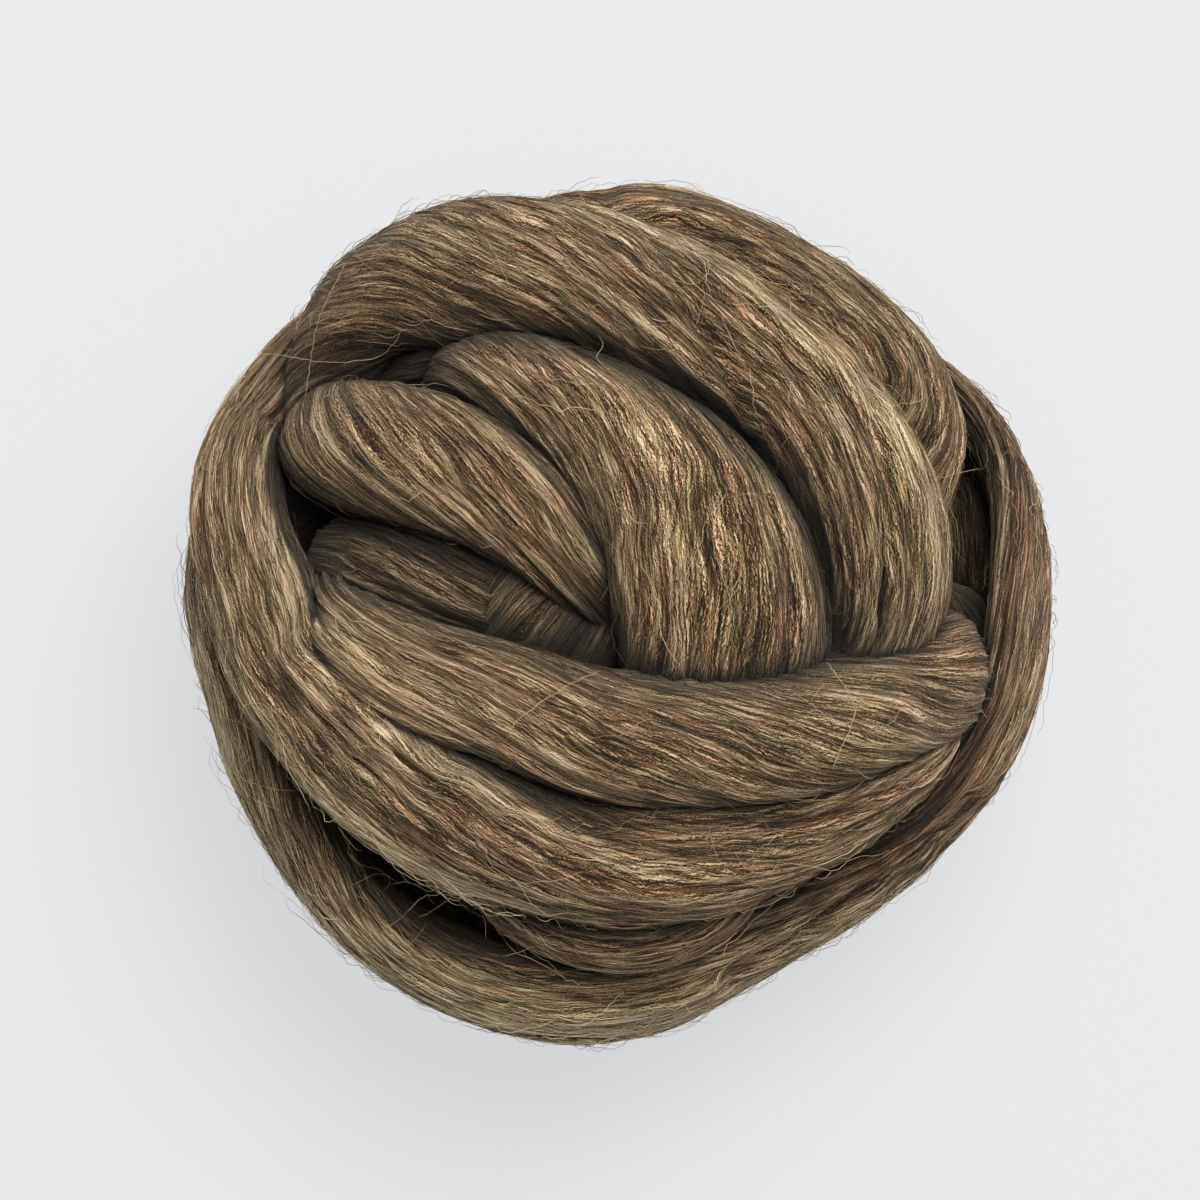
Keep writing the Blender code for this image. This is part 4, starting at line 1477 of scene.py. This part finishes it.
# %% The single hairs
# A row is a hair's shade, hue, radius in mm, rise in mm, and its line seen from above.
Hair = namedtuple("Hair", "shade hue radius lift line")
HAIRS = [Hair(*row) for row in (
    (0.85, 0.40, 0.075, 0.8, ((-49, 63), (-51, 59), (-52.5, 56), (-54.5, 51), (-55.5, 45),
        (-56.5, 39.5))),
    (0.75, 0.50, 0.06, 0.6, ((-48, 66.5), (-46, 63), (-43, 61))),
    (0.85, 0.45, 0.07, 0.5, ((-65, 47), (-60, 46.5), (-53.5, 45.5), (-48, 45.5),
        (-43, 46.5), (-40, 49), (-39, 50.5))),
    (0.95, 0.50, 0.07, 0.6, ((-39.5, 52.5), (-36.5, 51.5), (-34, 52.5), (-31, 51.5),
        (-27, 50.5))),
    (0.80, 0.45, 0.06, 0.6, ((-45, 51), (-41, 49.5), (-38, 51), (-35, 50))),
    (0.85, 0.45, 0.07, 0.8, ((-4, 49.5), (-3, 47.5), (-4, 45.5), (-2.5, 43.5), (-0.5, 43))),
    (0.85, 0.50, 0.06, 0.6, ((-8, 76), (-6.5, 74), (-6, 72))),
    (1.00, 0.50, 0.11, 0.5, ((5, 52.5), (6.5, 51.5), (8.5, 51.5))),
    (0.85, 0.50, 0.06, 1.0, ((8.5, 59), (12.5, 58), (15, 59.5), (15.5, 62), (14, 64.5))),
    (0.85, 0.50, 0.06, 0.7, ((14.5, 58), (14.5, 54.5), (13, 50))),
    (0.85, 0.55, 0.07, 1.0, ((53, 42.5), (54.5, 40.5), (54.5, 39), (52, 38), (49.5, 38))),
    (0.90, 0.75, 0.06, 0.5, ((57, 24.5), (60, 25.5), (65, 26.5))),
    (0.95, 0.45, 0.07, 0.5, ((1.5, 18), (2.5, 16.5), (5, 16))),
    (0.90, 0.45, 0.07, 0.8, ((30, -13), (34, -16), (38, -19), (41, -17), (39, -12), (36, -8))),
    (0.95, 0.50, 0.065, 0.8, ((41.5, -14.5), (40, -19.5), (38, -24), (37, -27))),
    (0.85, 0.50, 0.06, 0.6, ((45.5, -20), (48, -18), (49, -15.5))),
    (1.00, 0.10, 0.08, 0.6, ((68, -8), (67.5, -10.5), (67, -13.5))),
    (1.00, 0.45, 0.12, 0.6, ((-9, -42), (-4, -42.5), (0, -43.5), (2.5, -44.5), (6, -45.5))),
    (0.85, 0.45, 0.06, 0.8, ((15.5, -37), (17, -42), (21, -46), (26, -48))),
    (0.90, 0.45, 0.06, 0.8, ((20, -41), (22, -44), (26, -45), (28, -43))),
    (0.90, 0.45, 0.07, 0.8, ((-3.5, -9.5), (-8, -11.5), (-14.5, -15.5), (-18, -18.5),
        (-20, -22))),
    (0.90, 0.45, 0.07, 1.2, ((-48, -39), (-49, -42.5), (-46.5, -45), (-43.5, -46),
        (-40, -48.5))),
    (0.90, 0.45, 0.06, 1.2, ((-49, -49), (-46.5, -47.5), (-43, -46.5), (-41.5, -48),
        (-43, -50))),
    (0.95, 0.45, 0.07, 1.4, ((-41.5, -48.5), (-38, -48), (-34.5, -49.5), (-32, -48.5),
        (-30.5, -50.5), (-33.5, -53), (-36.5, -54.5))),
    (0.95, 0.45, 0.07, 1.4, ((-38, -53), (-35.5, -50.5), (-33, -50), (-29, -48.5),
        (-25.5, -49.5))),
    (0.90, 0.45, 0.06, 1.2, ((-26, -51), (-24.5, -54), (-24, -58))),
    (0.90, 0.45, 0.06, 1.0, ((-21, -61), (-18, -60), (-14.5, -59), (-13, -60.5), (-11, -61.5))),
    (0.85, 0.45, 0.06, 1.0, ((-47, -57), (-41, -55.5), (-36.5, -51.5))),
    (0.85, 0.45, 0.06, 1.0, ((-46, -61), (-43, -57), (-38, -59), (-35, -55.5))),
    (0.90, 0.50, 0.06, 0.8, ((-77, -16.5), (-72, -18), (-67.5, -19.5), (-65, -21.5))),
    (0.90, 0.50, 0.06, 0.8, ((-67.5, -19), (-66.5, -16), (-64, -15.5), (-62, -16.5),
        (-61, -19))),
    (0.85, 0.50, 0.06, 0.8, ((-73.5, -23.5), (-70, -28), (-65, -30.5), (-58, -31.5))),
    (0.85, 0.50, 0.06, 0.8, ((-66, -25), (-69, -29), (-66, -33), (-61, -35))),
)]
print(len(HAIRS), "single hairs")

# %% How a single hair lies on the wool
HAIR_STEP = 0.6 * MM
HAIR_CRIMP = 0.14 * MM
HAIR_REACH = 5  # steps to each side over which the wool's height is evened out
HAIR_SAG = 5 * MM
HAIR_GAP = 0.12  # mm that the ends stand off the wool
HAIR_SEED = 21
HUMP_FROM, HUMP_TO = 0.04, 0.96
TAPER_STEPS, TIP_SHARE = 4, 0.3
OVER_THE_BALL = 0.3


def height_at(x, y):
    """How high the wool is under a point seen from above."""
    top = 0.0
    for wrap in bare_wraps:
        met, where, _, _ = wrap.ray_cast((x, y, OVER_THE_BALL), (0, 0, -1))
        if met:
            top = max(top, where[2])
    return top


def hair_path(hair, chance):
    rows = np.array(hair.line) * MM
    span = float(np.linalg.norm(np.diff(rows, axis=0), axis=1).mean())
    flat = smooth_rows(rows, False, max(2, round(span / HAIR_STEP)))
    flat = flat + chance.uniform(-HAIR_CRIMP, HAIR_CRIMP, flat.shape)
    heights = np.array([height_at(x, y) for x, y in flat])
    heights = np.maximum(heights, heights.max() - HAIR_SAG)
    padded = np.pad(heights, HAIR_REACH, mode="edge")
    windows = np.lib.stride_tricks.sliding_window_view(padded, 2 * HAIR_REACH + 1)
    eased = np.maximum(heights, windows.mean(axis=1))
    hump = np.sin(np.pi * np.linspace(HUMP_FROM, HUMP_TO, len(flat)))
    return np.column_stack([flat, eased + (HAIR_GAP + hair.lift * hump) * MM])


def hair_points(path, radius):
    """Three lines of points along a hair, which draw together at its tips."""
    tangent = unit_rows(np.gradient(path, axis=0))
    side = unit_rows(np.cross(tangent, (0, 0, 1)))
    up = np.cross(side, tangent)
    steps = np.arange(len(path))
    taper = np.clip(np.minimum(steps, steps[::-1]) / TAPER_STEPS + TIP_SHARE, 0, 1)
    points = []
    for turn in (2 * math.pi * k / 3 for k in range(3)):
        off = side * math.cos(turn) + up * math.sin(turn)
        points.extend((path + off * (radius * taper)[:, None]).tolist())
    return points


def hair_faces(first, count):
    """Three strips of faces along a hair, and a triangle at each end."""
    def corner(line, step):
        return first + line % 3 * count + step
    faces = [
        (corner(k, i), corner(k, i + 1), corner(k + 1, i + 1), corner(k + 1, i))
        for i in range(count - 1) for k in range(3)
    ]
    faces.append((corner(0, 0), corner(1, 0), corner(2, 0)))
    faces.append((corner(2, count - 1), corner(1, count - 1), corner(0, count - 1)))
    return faces


# %% Lay the single hairs


def hair_mesh(name, hairs):
    points, faces = [], []
    values = {label: [] for label in ("fibre", "share", "side", "shade", "hue")}
    chance = np.random.default_rng(HAIR_SEED)
    for number, hair in enumerate(hairs):
        path = hair_path(hair, chance)
        count = len(path)
        faces += hair_faces(len(points), count)
        points += hair_points(path, hair.radius * MM)
        values["fibre"] += [number] * (3 * count)
        values["share"] += list(np.linspace(0, 1, count)) * 3
        values["side"] += [0.0] * count + [1.0] * count + [2.0] * count
        values["shade"] += [hair.shade] * (3 * count)
        values["hue"] += [hair.hue] * (3 * count)
    piece = plain_mesh(name, points, faces)
    for label, number in {"open_share": 1.0, "crest": 0.5, "looped": 0.0, "pale": 0.0}.items():
        values[label] = [number] * len(points)
    for label, numbers in values.items():
        kind = "INT" if label == "fibre" else "FLOAT"
        piece.data.attributes.new(label, kind, "POINT").data.foreach_set("value", numbers)
    piece.data.attributes.new("combed", "FLOAT_VECTOR", "POINT").data.foreach_set(
        "vector", np.array(points, np.float32).ravel())
    piece.data.materials.append(fibre_wool)
    piece.data.shade_smooth()
    thread_sheet(piece.data)
    print(name + ":", len(hairs), "threads,", triangles(piece), "triangles")
    return piece


bpy.context.view_layer.update()
threads.append(hair_mesh("single_hairs", HAIRS))

# %% [markdown]
# ## Into the frame
#
# The ball is one rigid piece. Every wrap and every fibre rides on its one body, and
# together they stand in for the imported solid. They are all the same wool.

# %% Put the pieces in the frame
for piece in bare_wraps + threads:
    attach(piece, "root")
    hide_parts("wool_ball")
print(len(bare_wraps + threads), "pieces")
